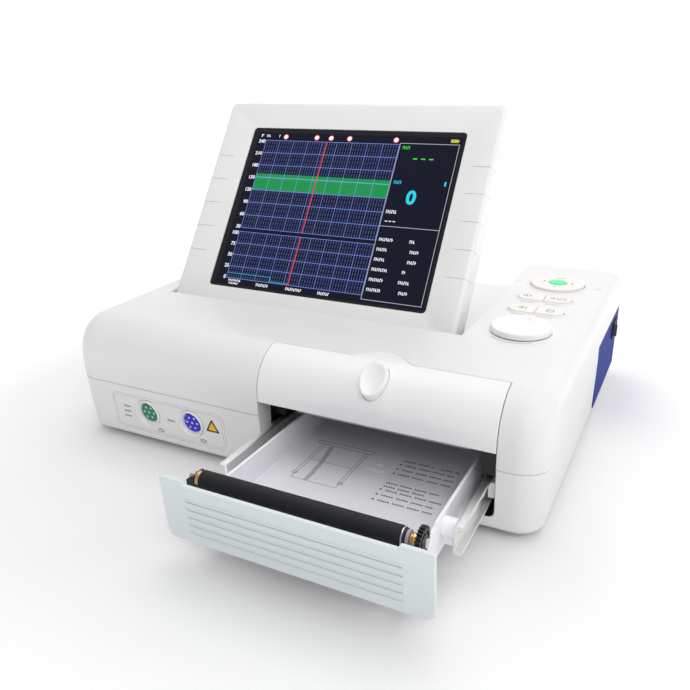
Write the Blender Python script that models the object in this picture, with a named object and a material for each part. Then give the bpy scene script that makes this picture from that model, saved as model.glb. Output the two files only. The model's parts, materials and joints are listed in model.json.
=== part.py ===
"""Desktop patient monitor with a folding screen and a thermal chart printer in a drawer.

Lengths below are millimetres; meshes are made in metres. +Z is up, the printer drawer opens towards
-Y, and the origin is on the table below the middle of the machine. The drawer is modelled open and
the screen raised.
"""

import math

import bmesh
import bpy
from mathutils import Matrix, Vector

MM = 0.001
GAP = 0.3

# Casing
HALF_WIDTH = 169.0
FRONT = -100.0
BACK = 194.0
BASE = 4.3
SEAM = 46.0
WALL = 2.5
CORNER = 18.0
REAR_CORNER = 8.0
DRAFT_TOP = 51.0
FRONT_DRAFT = 0.1
SIDE_DRAFT = 0.03
BASE_FILLET = 5.0
ARC_START = 63.0
ARC_RADIUS = 26.0
ARC_Y = FRONT + ARC_RADIUS
SIDE_ARC_START = 76.0
SIDE_RADIUS = 13.0
REAR_ARC_RADIUS = 35.0
REAR_ARC_START = 54.0
TOP_SLOPE = 0.0262
SLOPE_Y = -76.0
TOP = ARC_START + ARC_RADIUS

# Printer bay and its drawer
BAY_LEFT = -11.0
BAY_RIGHT = 142.0
BAY_BOTTOM = 14.0
BAY_TOP = 56.0
BAY_BACK = 66.0
LIP_BACK = -85.0
DRAWER_OUT = 93.6
COVER_BACK = -76.3
BULGE_LEFT = 45.6
BULGE_RIGHT = 82.6
BULGE_DEPTH = 12.0
COVER_THICKNESS = 2.2
TRAY_LEFT = 6.0
TRAY_RIGHT = 125.0
TRAY_WALL = 1.8
TRAY_BOTTOM = 17.0
TRAY_FLOOR = 21.0
TRAY_TOP = 38.0
TRAY_FRONT = -186.8
TRAY_BACK = -30.0
RAIL_BOTTOM = 20.0
RAIL_TOP = 37.0
RAIL_FRONT = -145.0
RAIL_INSET = 8.0
RAIL_GAUGE = 1.4
FIXED_RAIL_FRONT = FRONT + 16.0
BAY_MIDDLE = (BAY_LEFT + BAY_RIGHT) / 2
LOUVRES = 5
LOUVRE_TOP = 43.2
LOUVRE_PITCH = 5.05
LOUVRE_DEPTH = 0.8
LOUVRE_LEFT = 4.6
LOUVRE_RIGHT = 127.0

# Print mechanism
ROLLER_Y = -177.5
ROLLER_Z = 47.3
ROLLER_RADIUS = 5.2
ROLLER_LEFT = 5.6
ROLLER_RIGHT = 119.5
SHAFT_RADIUS = 2.5
BEARING_RADIUS = 4.4
GEAR_LEFT = 127.6
GEAR_RIGHT = 131.0
MODULE = 0.6
GEAR_TEETH = 24
PINION_TEETH = 12
MESH_PLAY = 0.15
CLOSED_ROLLER_Y = ROLLER_Y + DRAWER_OUT
DRIVE_Y = CLOSED_ROLLER_Y + MODULE * GEAR_TEETH + MESH_PLAY
PINION_ANGLE = math.radians(60)
PINION_DISTANCE = MODULE * (GEAR_TEETH + PINION_TEETH) / 2 + MESH_PLAY
PINION_Y = DRIVE_Y + PINION_DISTANCE * math.cos(PINION_ANGLE)
PINION_Z = ROLLER_Z + PINION_DISTANCE * math.sin(PINION_ANGLE)

# Screen
HINGE_Y = -7.0
HINGE_Z = 79.7
SCREEN_TILT = math.radians(34.3)
SCREEN_LEFT = -142.7
SCREEN_RIGHT = 88.6
SCREEN_HALF = 11.0
SCREEN_LENGTH = 171.8
SCREEN_WALL = 2.4
WELL_LEFT = -144.5
WELL_RIGHT = 94.0
WELL_FRONT = -18.5
WELL_DEPTH = 24.0
WELL_ROUND_Y = 168.0
GLASS = (-114.5, 64.5, 14.4, 150.0)
FACET = (-128.5, 74.7, 3.0, 162.0)
HINGE_SHAFT_RADIUS = 3.0

# Front sockets, controls and side panels
SOCKETS = {"left": -105.0, "right": -67.4}
SOCKET_Z = 27.5
SOCKET_RADIUS = 10.0
INSERT_RADIUS = 7.0
LABEL = (-136.0, -40.0, 11.4, 39.3)
KNOB = (127.0, 3.0)
PAD = (128.6, 112.0)
KEY_ROWS = (45.5, 73.5)
KEY_HALF_DEPTH = 7.0
KEY_EDGES = (108.0, 127.2, 146.3)
KEY_BOARD = (126.5, 84.0, 23.0, 54.0)
KEY_UNDERSIDE = -4.2
KEY_SWITCH_TOP = -5.4
PANEL = (70.0, 184.0, 11.0, 63.0)
PANEL_SLANT = 10.0
SWITCH = (150.0, 172.0, 43.0, 56.0)
SWITCH_FACE = HALF_WIDTH - 0.1
ROCKER_TIP = 172.3
INLET_X = 110.0
INLET_Z = 28.0
INLET_BACK = BACK + 1.8
SPEAKER = (-38, -40)
BOSSES = [(-152, -82), (156, -82), (-155, 176), (152, 176)]
FEET = {
    "front_left": (-138, -76),
    "front_right": (138, -76),
    "back_left": (-138, 166),
    "back_right": (138, 166),
}

MATERIALS = {
    "casing_white": ((0.86, 0.86, 0.87), 0.45, 0.0),
    "cover_white": ((0.88, 0.88, 0.89), 0.42, 0.0),
    "drawer_grey": ((0.70, 0.75, 0.77), 0.42, 0.0),
    "tray_white": ((0.84, 0.83, 0.87), 0.5, 0.0),
    "label_grey": ((0.72, 0.74, 0.74), 0.5, 0.0),
    "key_white": ((0.90, 0.89, 0.88), 0.5, 0.0),
    "key_green": ((0.15, 0.70, 0.45), 0.45, 0.0),
    "panel_blue": ((0.06, 0.11, 0.45), 0.45, 0.0),
    "insert_green": ((0.0, 0.30, 0.17), 0.45, 0.0),
    "insert_blue": ((0.02, 0.02, 0.60), 0.45, 0.0),
    "glass_black": ((0.01, 0.012, 0.03), 0.08, 0.0),
    "rubber_black": ((0.03, 0.03, 0.035), 0.75, 0.0),
    "plastic_black": ((0.02, 0.02, 0.022), 0.5, 0.0),
    "rail_steel": ((0.72, 0.73, 0.73), 0.32, 1.0),
    "shaft_steel": ((0.66, 0.66, 0.66), 0.28, 1.0),
    "board_green": ((0.02, 0.22, 0.10), 0.5, 0.0),
    "heatsink_grey": ((0.45, 0.46, 0.48), 0.4, 1.0),
}


# Middle of the machine's outline, where the origin goes
CENTRE = Vector(((ROCKER_TIP - HALF_WIDTH) / 2, (INLET_BACK + FRONT - DRAWER_OUT) / 2, 0))


def clear_scene():
    for obj in list(bpy.data.objects):
        bpy.data.objects.remove(obj, do_unlink=True)


def material(name):
    """The Principled material of that name, made once."""
    if name in bpy.data.materials:
        return bpy.data.materials[name]
    colour, roughness, metallic = MATERIALS[name]
    made = bpy.data.materials.new(name)
    made.use_nodes = True
    shader = made.node_tree.nodes["Principled BSDF"]
    shader.inputs["Base Color"].default_value = (*colour, 1.0)
    shader.inputs["Roughness"].default_value = roughness
    shader.inputs["Metallic"].default_value = metallic
    return made


def piece(name, bm, slot, origin=(0, 0, 0), turn=None):
    """Object from a mesh in casing millimetres, with its origin at `origin`.

    `turn` lifts the mesh out of a local frame first.
    """
    if turn is not None:
        bmesh.ops.transform(bm, matrix=turn, verts=bm.verts)
    bmesh.ops.translate(bm, vec=-Vector(origin), verts=bm.verts)
    bmesh.ops.scale(bm, vec=(MM, MM, MM), verts=bm.verts)
    bmesh.ops.recalc_face_normals(bm, faces=bm.faces)
    mesh = bpy.data.meshes.new(name)
    bm.to_mesh(mesh)
    bm.free()
    mesh.shade_smooth()
    mesh.set_sharp_from_angle(angle=math.radians(30))
    obj = bpy.data.objects.new(name, mesh)
    obj.location = (Vector(origin) - CENTRE) * MM
    mesh.materials.append(material(slot))
    bpy.context.scene.collection.objects.link(obj)
    return obj


def cutter(name, bm, turn=None):
    """A shape that only cuts or joins: it isn't part of the machine."""
    obj = piece(name, bm, "plastic_black", turn=turn)
    obj.hide_render = True
    obj.display_type = "WIRE"
    return obj


def boolean(target, other, operation="DIFFERENCE"):
    step = target.modifiers.new(other.name, "BOOLEAN")
    step.operation = operation
    step.solver = "EXACT"
    step.object = other


def merged(*parts):
    """One mesh with the separate closed bodies of several."""
    whole = bmesh.new()
    for part in parts:
        copy = bpy.data.meshes.new("joined")
        part.to_mesh(copy)
        part.free()
        whole.from_mesh(copy)
        bpy.data.meshes.remove(copy)
    return whole


def prism(points, axis, low, high):
    """A closed outline swept along X, Y or Z; its two numbers are the other two axes in order."""
    places = {"X": lambda a, b: (low, a, b), "Y": lambda a, b: (a, low, b), "Z": lambda a, b: (a, b, low)}
    place = places[axis]
    step = {"X": (high - low, 0, 0), "Y": (0, high - low, 0), "Z": (0, 0, high - low)}[axis]
    bm = bmesh.new()
    face = bm.faces.new([bm.verts.new(place(a, b)) for a, b in points])
    swept = bmesh.ops.extrude_face_region(bm, geom=[face])
    moved = [v for v in swept["geom"] if isinstance(v, bmesh.types.BMVert)]
    bmesh.ops.translate(bm, vec=step, verts=moved)
    return bm


def box(x0, x1, y0, y1, z0, z1):
    return prism([(x0, y0), (x1, y0), (x1, y1), (x0, y1)], "Z", z0, z1)


def circle(a, b, radius, steps=24):
    return [(a + radius * math.cos(t), b + radius * math.sin(t)) for t in turns(steps)]


def turns(steps):
    return [2 * math.pi * i / steps for i in range(steps)]


def rod(axis, a, b, radius, low, high, steps=24):
    """A cylinder along one axis through (a, b) of the other two."""
    return prism(circle(a, b, radius, steps), axis, low, high)


def tube(axis, a, b, outer, inner, low, high, steps=24):
    """A straight tube, bridged between its outer and inner rings."""
    places = {"X": lambda h, u, v: (h, u, v), "Y": lambda h, u, v: (u, h, v), "Z": lambda h, u, v: (u, v, h)}
    place = places[axis]
    bm = bmesh.new()
    loops = []
    for height, radius in ((low, outer), (high, outer), (high, inner), (low, inner)):
        loops.append([bm.verts.new(place(height, *p)) for p in circle(a, b, radius, steps)])
    for i, loop in enumerate(loops):
        following = loops[(i + 1) % len(loops)]
        for j in range(steps):
            k = (j + 1) % steps
            bm.faces.new((loop[j], loop[k], following[k], following[j]))
    return bm


def rounded(a0, a1, b0, b1, radius, steps=4, far_radius=None):
    """Outline of a rectangle with round corners; `far_radius` is for the two corners at b1."""
    far = radius if far_radius is None else far_radius
    corners = ((a1, b1, -1, -1, far), (a0, b1, 1, -1, far), (a0, b0, 1, 1, radius), (a1, b0, -1, 1, radius))
    points = []
    for quarter, (a, b, toward_a, toward_b, r) in enumerate(corners):
        for i in range(steps + 1):
            angle = math.pi / 2 * (quarter + i / steps)
            points.append((a + r * (toward_a + math.cos(angle)), b + r * (toward_b + math.sin(angle))))
    return points


def loft(rings):
    """A closed body through rings that have the same number of points."""
    bm = bmesh.new()
    loops = [[bm.verts.new(p) for p in ring] for ring in rings]
    for low, high in zip(loops, loops[1:]):
        for j in range(len(low)):
            k = (j + 1) % len(low)
            bm.faces.new((low[j], low[k], high[k], high[j]))
    bm.faces.new(loops[0])
    bm.faces.new(loops[-1])
    return bm


# ---- casing --------------------------------------------------------------------------------------


def rise(height):
    """How much of the top's slope a level takes: none at the belly, all of it above the arc's start."""
    return min(max((height - DRAFT_TOP) / (ARC_START - DRAFT_TOP), 0.0), 1.0)


def top_z(y, height=TOP):
    return height + TOP_SLOPE * (y - SLOPE_Y) * rise(height)


def arc_inset(height, start, radius):
    over = min(max(height - start, 0.0), radius)
    return radius - math.sqrt(radius * radius - over * over)


def casing_ring(height, inward=0.0):
    """The casing's outline at one level; `inward` gives the same surface further in."""
    below = max(DRAFT_TOP - height, 0.0)
    foot = inward + arc_inset(BASE + inward + BASE_FILLET - height, 0.0, BASE_FILLET)
    front = foot + arc_inset(height, ARC_START, ARC_RADIUS - inward)
    rear = foot + arc_inset(height, REAR_ARC_START, REAR_ARC_RADIUS - inward)
    sides = foot + SIDE_DRAFT * below + arc_inset(height, SIDE_ARC_START, SIDE_RADIUS - inward)
    radius = max(CORNER - sides, 6.0 - inward)
    rear_radius = max(REAR_CORNER - sides, 4.0 - inward)
    outline = rounded(
        -HALF_WIDTH + sides,
        HALF_WIDTH - sides,
        FRONT + front + FRONT_DRAFT * below,
        BACK - rear - SIDE_DRAFT * below,
        radius,
        steps=5,
        far_radius=rear_radius,
    )
    return [(x, y, top_z(y, height)) for x, y in outline]


def casing_solid(levels, inward=0.0):
    return loft([casing_ring(level, inward) for level in levels])


def arc_levels(inward):
    """Levels that cut the front arc every 15 degrees, after two that start the taller rear arc."""
    radius = ARC_RADIUS - inward
    angles = map(math.radians, (0, 15, 30, 45, 60, 75, 90))
    return [57.0, 60.0] + [ARC_START + radius * math.sin(angle) for angle in angles]


def base_levels(inward):
    low = BASE + inward
    return [low + BASE_FILLET * (1 - math.cos(math.radians(angle))) for angle in (0, 30, 60, 90)]


def well_profile(grow):
    """Side view of the screen's well; `grow` moves it outward into the casing."""
    floor_front = top_z(WELL_FRONT) - WELL_DEPTH - grow
    floor_back = top_z(WELL_ROUND_Y) - WELL_DEPTH - grow
    round_radius = BACK - WELL_ROUND_Y - grow
    points = [(WELL_FRONT - grow, 130.0), (WELL_FRONT - grow, floor_front)]
    for i in range(7):
        angle = math.radians(90 - 15 * i)
        y = WELL_ROUND_Y + round_radius * math.cos(angle)
        points.append((y, floor_back - round_radius * (1 - math.sin(angle))))
    points.append((WELL_ROUND_Y + round_radius, 20.0 if grow else 44.0))
    points += [(BACK + 20, 20.0 if grow else 44.0), (BACK + 20, 130.0)]
    return points


def bulge(x):
    """Extra depth of the cover's rear edge around the release button."""
    across = (x - BULGE_LEFT) / (BULGE_RIGHT - BULGE_LEFT)
    return BULGE_DEPTH * math.sin(math.pi * across) if 0 < across < 1 else 0.0


def bulge_stations(steps=10):
    return [BULGE_LEFT + (BULGE_RIGHT - BULGE_LEFT) * i / steps for i in range(steps + 1)]


def cover_opening():
    """The drawer's opening and the printer cover's opening, as one upright cut."""
    outline = [(BAY_LEFT, FRONT - 20), (BAY_RIGHT, FRONT - 20), (BAY_RIGHT, COVER_BACK + GAP)]
    for x in reversed(bulge_stations()):
        outline.append((x, COVER_BACK + GAP + bulge(x)))
    outline.append((BAY_LEFT, COVER_BACK + GAP))
    return prism(outline, "Z", SEAM - 6, 130)


def control_plane(x, y):
    """Local frame of the control panel: its origin is on the sloping top, its Z is the top's normal."""
    return Matrix.Translation((x, y, top_z(y))) @ Matrix.Rotation(math.atan(TOP_SLOPE), 4, "X")


def front_plane(x, z):
    """Local frame on the drafted front: X across, Y into the casing, Z up the face."""
    y = FRONT + FRONT_DRAFT * (DRAFT_TOP - z)
    return Matrix.Translation((x, y, z)) @ Matrix.Rotation(math.atan(FRONT_DRAFT), 4, "X")


def panel_outline(grow=0.0):
    """Blue side panel as (y, z): its front edge leans back towards the bottom."""
    front, back, low, high = PANEL[0] - grow, PANEL[1] + grow, PANEL[2] - grow, PANEL[3] + grow
    return [(front + PANEL_SLANT, low), (back, low), (back, high), (front, high)]


def pill(x0, x1, half, round_left, round_right, grow=0.0, steps=8):
    """Half a pill: one end round, the other straight, centred on y = 0."""
    points = []
    if round_right:
        for i in range(steps + 1):
            angle = -math.pi / 2 + math.pi * i / steps
            points.append((x1 - half + (half + grow) * math.cos(angle), (half + grow) * math.sin(angle)))
    else:
        points += [(x1 + grow, -half - grow), (x1 + grow, half + grow)]
    if round_left:
        for i in range(steps + 1):
            angle = math.pi / 2 + math.pi * i / steps
            points.append((x0 + half + (half + grow) * math.cos(angle), (half + grow) * math.sin(angle)))
    else:
        points += [(x0 - grow, half + grow), (x0 - grow, -half - grow)]
    return points


def make_bottom_case():
    levels = base_levels(0) + [DRAFT_TOP - 30, SEAM - GAP / 2]
    case = piece("bottom_case", casing_solid(levels), "casing_white")
    hollow = cutter("bottom_hollow", casing_solid(base_levels(WALL) + [SEAM + 10], WALL))
    lip = box(BAY_LEFT - 2, BAY_RIGHT + 2, FRONT - 5, LIP_BACK, BAY_BOTTOM - 2, 70)
    boolean(hollow, cutter("bottom_lip", lip))
    posts = [rod("Z", x, y, 4.5, BASE - 2, 70, 12) for x, y in BOSSES]
    boolean(hollow, cutter("bottom_posts", merged(*posts)))
    boolean(case, hollow)
    opening = rounded(BAY_LEFT, BAY_RIGHT, BAY_BOTTOM, 80, 3.5, 3)
    front = FRONT_DRAFT * (DRAFT_TOP - LABEL[2])
    cuts = [
        prism(opening, "Y", FRONT - 20, LIP_BACK + 6),
        box(-150, -60, -50, 5, BASE - 5, BASE + 5),
        box(INLET_X - 14, INLET_X + 14, BACK - 12, BACK + 10, INLET_Z - 10.5, INLET_Z + 10.5),
        prism(panel_outline(GAP), "X", -HALF_WIDTH - 5, -HALF_WIDTH + 7),
        prism(panel_outline(GAP), "X", HALF_WIDTH - 7, HALF_WIDTH + 5),
    ]
    cuts += [rod("Z", x, y, 1.9, BASE - 5, 60, 12) for x, y in BOSSES]
    cuts += [rod("Z", x, y, 2.2, BASE - 5, BASE + 5, 10) for x, y in speaker_holes()]
    cuts += [box(x, x + 3, BACK - 12, BACK + 10, 16, 38) for x in vent_places()]
    boolean(case, cutter("bottom_cuts", merged(*cuts)))
    heads = [rod("Z", x, y, 3.9, BASE - 5, BASE + 2.3, 12) for x, y in BOSSES]
    boolean(case, cutter("screw_pockets", merged(*heads)))
    sockets = [rod("Y", x, 0, 8.3, -4, 12, 24) for x in SOCKETS.values()]
    boolean(case, cutter("socket_holes", merged(*sockets), front_plane(0, SOCKET_Z)))
    recess = rounded(LABEL[0] - GAP, LABEL[1] + GAP, LABEL[2] - SOCKET_Z, LABEL[3] - SOCKET_Z + GAP, 6)
    boolean(case, cutter("label_recess", prism(recess, "Y", -front - 5, 0.7), front_plane(0, SOCKET_Z)))


def speaker_holes():
    return [(SPEAKER[0] + 8 * i, SPEAKER[1] + 8 * j) for i in (-1, 0, 1) for j in (-1, 0, 1)]


def vent_places():
    return [-120 + 8 * i for i in range(10)]


def make_top_case():
    case = piece("top_case", casing_solid([SEAM + GAP / 2, DRAFT_TOP] + arc_levels(0)), "casing_white")
    hollow = cutter("top_hollow", casing_solid([SEAM - 8, DRAFT_TOP] + arc_levels(WALL), WALL))
    well_wall = prism(well_profile(WALL), "X", WELL_LEFT - WALL, WELL_RIGHT + WALL)
    boolean(hollow, cutter("well_wall", well_wall))
    lips = merged(
        box(BAY_LEFT - 2, BAY_LEFT + 4, FRONT - 5, LIP_BACK, SEAM - 20, 60),
        box(BAY_RIGHT - 4, BAY_RIGHT + 2, FRONT - 5, LIP_BACK, SEAM - 20, 60),
    )
    boolean(hollow, cutter("top_lip", lips))
    posts = [rod("Z", x, y, 4.5, SEAM - 20, 140, 12) for x, y in BOSSES]
    boolean(hollow, cutter("top_posts", merged(*posts)))
    boolean(case, hollow)
    boolean(case, cutter("well_space", prism(well_profile(0), "X", WELL_LEFT, WELL_RIGHT)))
    boolean(case, cutter("cover_opening", cover_opening()))
    cuts = [
        prism(panel_outline(GAP), "X", -HALF_WIDTH - 5, -HALF_WIDTH + 7),
        prism(panel_outline(GAP), "X", HALF_WIDTH - 7, HALF_WIDTH + 5),
    ]
    cuts += [rod("Z", x, y, 1.4, SEAM - 20, SEAM + 14, 12) for x, y in BOSSES]
    for x in (WELL_LEFT - 1, WELL_RIGHT + 1):
        cuts.append(rod("X", HINGE_Y, HINGE_Z, HINGE_SHAFT_RADIUS + 0.4, x - 4, x + 4))
    boolean(case, cutter("top_cuts", merged(*cuts)))
    holes = [rod("Z", 0, 0, 4.5, -8, 8)]
    boolean(case, cutter("knob_hole", merged(*holes), control_plane(*KNOB)))
    boolean(case, cutter("pad_hole", rod("Z", 0, 0, 20.4, -8, 8, 32), control_plane(*PAD)))
    for row, y in enumerate(KEY_ROWS):
        both = pill(KEY_EDGES[0], KEY_EDGES[2], KEY_HALF_DEPTH, True, True, grow=GAP)
        boolean(case, cutter(f"key_hole_{row}", prism(both, "Z", -8, 8), control_plane(0, y)))


def cover_path(distance, inward):
    """Point (y, z) of the cover's surface at a distance up from its front lower edge."""
    rise_length = ARC_START - BAY_TOP - GAP
    arc_length = ARC_RADIUS * math.pi / 2
    if distance <= rise_length:
        height = BAY_TOP + GAP + distance
        return FRONT + inward, top_z(FRONT, height)
    if distance <= rise_length + arc_length:
        angle = (distance - rise_length) / ARC_RADIUS
        y = ARC_Y - (ARC_RADIUS - inward) * math.cos(angle)
        return y, ARC_START + (ARC_RADIUS - inward) * math.sin(angle) + TOP_SLOPE * (y - SLOPE_Y)
    y = ARC_Y + distance - rise_length - arc_length
    return y, top_z(y) - inward


def cover_length(x):
    """How far the cover's surface runs up and back at a station across it."""
    rise_length = ARC_START - BAY_TOP - GAP
    back = COVER_BACK + bulge(x)
    if back >= ARC_Y:
        return rise_length + ARC_RADIUS * math.pi / 2 + back - ARC_Y
    return rise_length + ARC_RADIUS * math.acos((ARC_Y - back) / ARC_RADIUS)


def make_printer_cover():
    stations = [BAY_LEFT + 0.4, *bulge_stations(), BAY_RIGHT - 0.4]
    steps = 12
    rings = []
    for x in stations:
        length = cover_length(x)
        outer = [cover_path(length * i / steps, 0.0) for i in range(steps + 1)]
        inner = [cover_path(length * i / steps, COVER_THICKNESS) for i in range(steps + 1)]
        rings.append([(x, y, z) for y, z in outer + inner[::-1]])
    cover = piece("printer_cover", loft(rings), "cover_white")
    hole = prism(button_outline(GAP), "Z", -10, 10)
    boolean(cover, cutter("button_hole", hole, button_frame()))


# ---- release button and latch --------------------------------------------------------------------

BUTTON_X = 66.0
BUTTON_ANGLE = math.radians(47)
BUTTON_HALF_WIDTH = 9.5
BUTTON_HALF_LENGTH = 11.5
BUTTON_STEM = 21.5
LATCH_Y = -84.0
LATCH_Z = 62.5
LATCH_RADIUS = 2.4


def button_frame():
    """Local frame of the release button: Z out of the cover's arc, Y up along it."""
    y = ARC_Y - ARC_RADIUS * math.cos(BUTTON_ANGLE)
    z = ARC_START + ARC_RADIUS * math.sin(BUTTON_ANGLE) + TOP_SLOPE * (y - SLOPE_Y)
    return Matrix.Translation((BUTTON_X, y, z)) @ Matrix.Rotation(math.pi / 2 - BUTTON_ANGLE, 4, "X")


def button_outline(grow=0.0, steps=28):
    """A plectrum: wide and round at the top, narrower at the bottom."""
    points = []
    for t in turns(steps):
        narrowing = 1 - 0.22 * (1 - math.sin(t)) / 2
        across = (BUTTON_HALF_WIDTH + grow) * math.cos(t) * narrowing
        points.append((across, (BUTTON_HALF_LENGTH + grow) * math.sin(t)))
    return points


def make_release_button():
    origin = button_frame().translation
    cap = prism(button_outline(), "Z", -3.5, 3.6)
    button = piece("release_button", cap, "cover_white", origin, button_frame())
    dish = bmesh.new()
    bmesh.ops.create_uvsphere(dish, u_segments=20, v_segments=14, radius=26)
    bmesh.ops.translate(dish, vec=(0, 1.5, 27.6), verts=dish.verts)
    boolean(button, cutter("button_dish", dish, button_frame()))
    stem = rod("Z", 0, 0, 2.5, -BUTTON_STEM, -3.0, 16)
    boolean(button, cutter("button_stem", stem, button_frame()), "UNION")


def make_latch_lever():
    """Rocking lever: the button's stem pushes its rear arm down and lifts the two hooks in front."""
    pivot = (BUTTON_X, LATCH_Y, LATCH_Z)
    rod_shape = rod("X", LATCH_Y, LATCH_Z, LATCH_RADIUS, -8.0, 138.5, 20)
    lever = piece("latch_lever", rod_shape, "plastic_black", pivot)
    arm = [(-85, 60.7), (-77.4, 60.9), (-73.1, 66.3), (-74.6, 67.8), (-76.2, 66.3)]
    arm += [(-79.3, 62.3), (-84, 64.2)]
    boolean(lever, cutter("latch_arm", prism(arm, "X", BUTTON_X - 6, BUTTON_X + 6)), "UNION")
    hook = [(-83, 61), (-83, 63.5), (-86, 64.2), (-93.5, 60.5), (-94.5, 53.2), (-91.5, 53.2), (-90.2, 57.5)]
    hooks = merged(prism(hook, "X", 1.2, 3.6), prism(hook, "X", 121.3, 123.7))
    boolean(lever, cutter("latch_hooks", hooks), "UNION")


# ---- printer chassis and drive -------------------------------------------------------------------


def make_chassis():
    """Black liner round the bay with the brackets that hold the print head, the latch and the drive gear."""
    inner = (BAY_LEFT - GAP, BAY_RIGHT + GAP)
    outline_low, outline_high = BAY_BOTTOM - 1.8, BAY_TOP + 5.5
    chassis = piece(
        "printer_chassis",
        box(inner[0] - 1.5, inner[1] + 1.5, LIP_BACK + 0.5, BAY_BACK + 1.8, outline_low, outline_high),
        "plastic_black",
    )
    room = box(inner[0], inner[1], LIP_BACK - 5, BAY_BACK + 0.3, outline_low + 1.5, outline_high - 1.5)
    boolean(chassis, cutter("bay_room", room))
    above_head = box(inner[0] - 3, inner[1] + 3, LIP_BACK - 5, -56, outline_high - 1.6, outline_high + 4)
    boolean(chassis, cutter("above_head", above_head))
    blocks = merged(
        box(inner[0] - 1, -3.2, -80, -57, 40, outline_high - 2),
        box(133.6, inner[1] + 1, -84, -57, 40, outline_high - 2),
    )
    boolean(chassis, cutter("bracket_blocks", blocks), "UNION")
    ears = merged(
        box(BAY_LEFT + 0.4, -3.4, -88, -70, outline_high - 6, 67),
        box(133.8, BAY_RIGHT - 0.4, -88, -70, outline_high - 6, 67),
    )
    boolean(chassis, cutter("latch_ears", ears), "UNION")
    bore = rod("X", LATCH_Y, LATCH_Z, LATCH_RADIUS + 0.15, BAY_LEFT - 5, BAY_RIGHT + 5, 20)
    boolean(chassis, cutter("latch_bore", bore))
    boolean(chassis, cutter("drive_axle", rod("X", DRIVE_Y, ROLLER_Z, 2.0, 125.2, 136)), "UNION")
    boolean(chassis, cutter("pinion_shaft_hole", rod("X", PINION_Y, PINION_Z, 1.9, 130, 150, 16)))


def gear_outline(teeth, phase):
    """Trapezoid teeth round a pitch circle; a tooth's middle is at `phase`."""
    pitch = MODULE * teeth / 2
    root = pitch - 1.2 * MODULE
    tip = pitch + MODULE
    points = []
    for tooth in range(teeth):
        middle = phase + 2 * math.pi * tooth / teeth
        share = 2 * math.pi / teeth
        for radius, part in ((root, -0.36), (tip, -0.12), (tip, 0.12), (root, 0.36)):
            angle = middle + part * share
            points.append((radius * math.cos(angle), radius * math.sin(angle)))
    return points


def gear(axis_y, axis_z, teeth, bore, low, high, phase):
    """A spur gear along X with a round bore."""
    shape = gear_outline(teeth, phase)
    wheel = prism([(axis_y + a, axis_z + b) for a, b in shape], "X", low, high)
    hole = rod("X", axis_y, axis_z, bore, low - 2, high + 2, 36)
    return wheel, hole


def make_drive():
    wheel, hole = gear(DRIVE_Y, ROLLER_Z, GEAR_TEETH, 2.1, 126.4, 131.0, math.pi / GEAR_TEETH)
    drive = piece("drive_gear", wheel, "plastic_black", (128.7, DRIVE_Y, ROLLER_Z))
    boolean(drive, cutter("drive_bore", hole))
    facing = math.pi / PINION_TEETH + PINION_ANGLE + math.pi
    at_line = PINION_ANGLE - math.pi / GEAR_TEETH
    share = 2 * math.pi / GEAR_TEETH
    offset = (at_line / share - round(at_line / share)) * share
    phase = facing + offset * GEAR_TEETH / PINION_TEETH
    teeth = [(PINION_Y + a, PINION_Z + b) for a, b in gear_outline(PINION_TEETH, phase)]
    small = prism(teeth, "X", 126.4, 131.0)
    pinion = piece("motor_pinion", small, "plastic_black", (128.7, PINION_Y, PINION_Z))
    boolean(pinion, cutter("pinion_shaft", rod("X", PINION_Y, PINION_Z, 1.5, 125.6, 147.5, 16)), "UNION")
    motor = piece("feed_motor", rod("X", PINION_Y, PINION_Z, 10, 144.2, 163.0, 28), "heatsink_grey")
    boolean(motor, cutter("motor_bore", rod("X", PINION_Y, PINION_Z, 1.9, 140, 148.2, 16)))


def make_print_head():
    """Ceramic heat plate carried by a finned aluminium block, just behind the closed drawer's roller."""
    face = CLOSED_ROLLER_Y + ROLLER_RADIUS + 0.4
    plate = [(face, 43.0), (face + 2.5, 43.0), (face + 2.5, 45.5)]
    block = [(face + 14.0, 45.5), (face + 14.0, 57.0), (face + 1.0, 57.0), (face, 55.5)]
    head = piece("print_head", prism(plate + block, "X", 5, 121), "heatsink_grey", (63, face + 7, 50))
    fins = [box(x, x + 2.4, face + 6, face + 20, 48, 60) for x in range(12, 112, 8)]
    boolean(head, cutter("head_fins", merged(*fins)))


# ---- drawer --------------------------------------------------------------------------------------


def front_y(z):
    """Drawer front's outer face, which continues the casing's draft when the drawer is shut."""
    return FRONT - DRAWER_OUT + FRONT_DRAFT * max(DRAFT_TOP - z, 0.0)


def make_drawer_front():
    left, right, low, high = BAY_LEFT + 0.6, BAY_RIGHT - 0.6, BAY_BOTTOM + 1.3, BAY_TOP - 1.8
    notch = 2.4
    outline = [(right, high), (right - 16.5, high), (right - 17.7, high - notch)]
    outline += [(left + 15.3, high - notch), (left + 14.1, high), (left, high)]
    for centre, start in (((left + 5.5, low + 5.5), 180), ((right - 5.5, low + 5.5), 270)):
        for i in range(5):
            angle = math.radians(start + 22.5 * i)
            outline.append((centre[0] + 5.5 * math.cos(angle), centre[1] + 5.5 * math.sin(angle)))
    bm = prism(outline, "Y", 0, 2.8)
    for vert in bm.verts:
        vert.co.y += front_y(vert.co.z)
    plate = piece("drawer_front", bm, "drawer_grey")
    louvres = []
    for i in range(LOUVRES):
        lip = LOUVRE_TOP - LOUVRE_PITCH * i
        start = lip + LOUVRE_PITCH - 0.8
        profile = [(front_y(start) + 1, start), (front_y(start), start), (front_y(lip) - LOUVRE_DEPTH, lip)]
        profile += [(front_y(lip), lip - 0.5), (front_y(lip) + 1, lip - 0.5)]
        louvres.append(prism(profile, "X", LOUVRE_LEFT, LOUVRE_RIGHT))
    boolean(plate, cutter("louvres", merged(*louvres)), "UNION")


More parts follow.
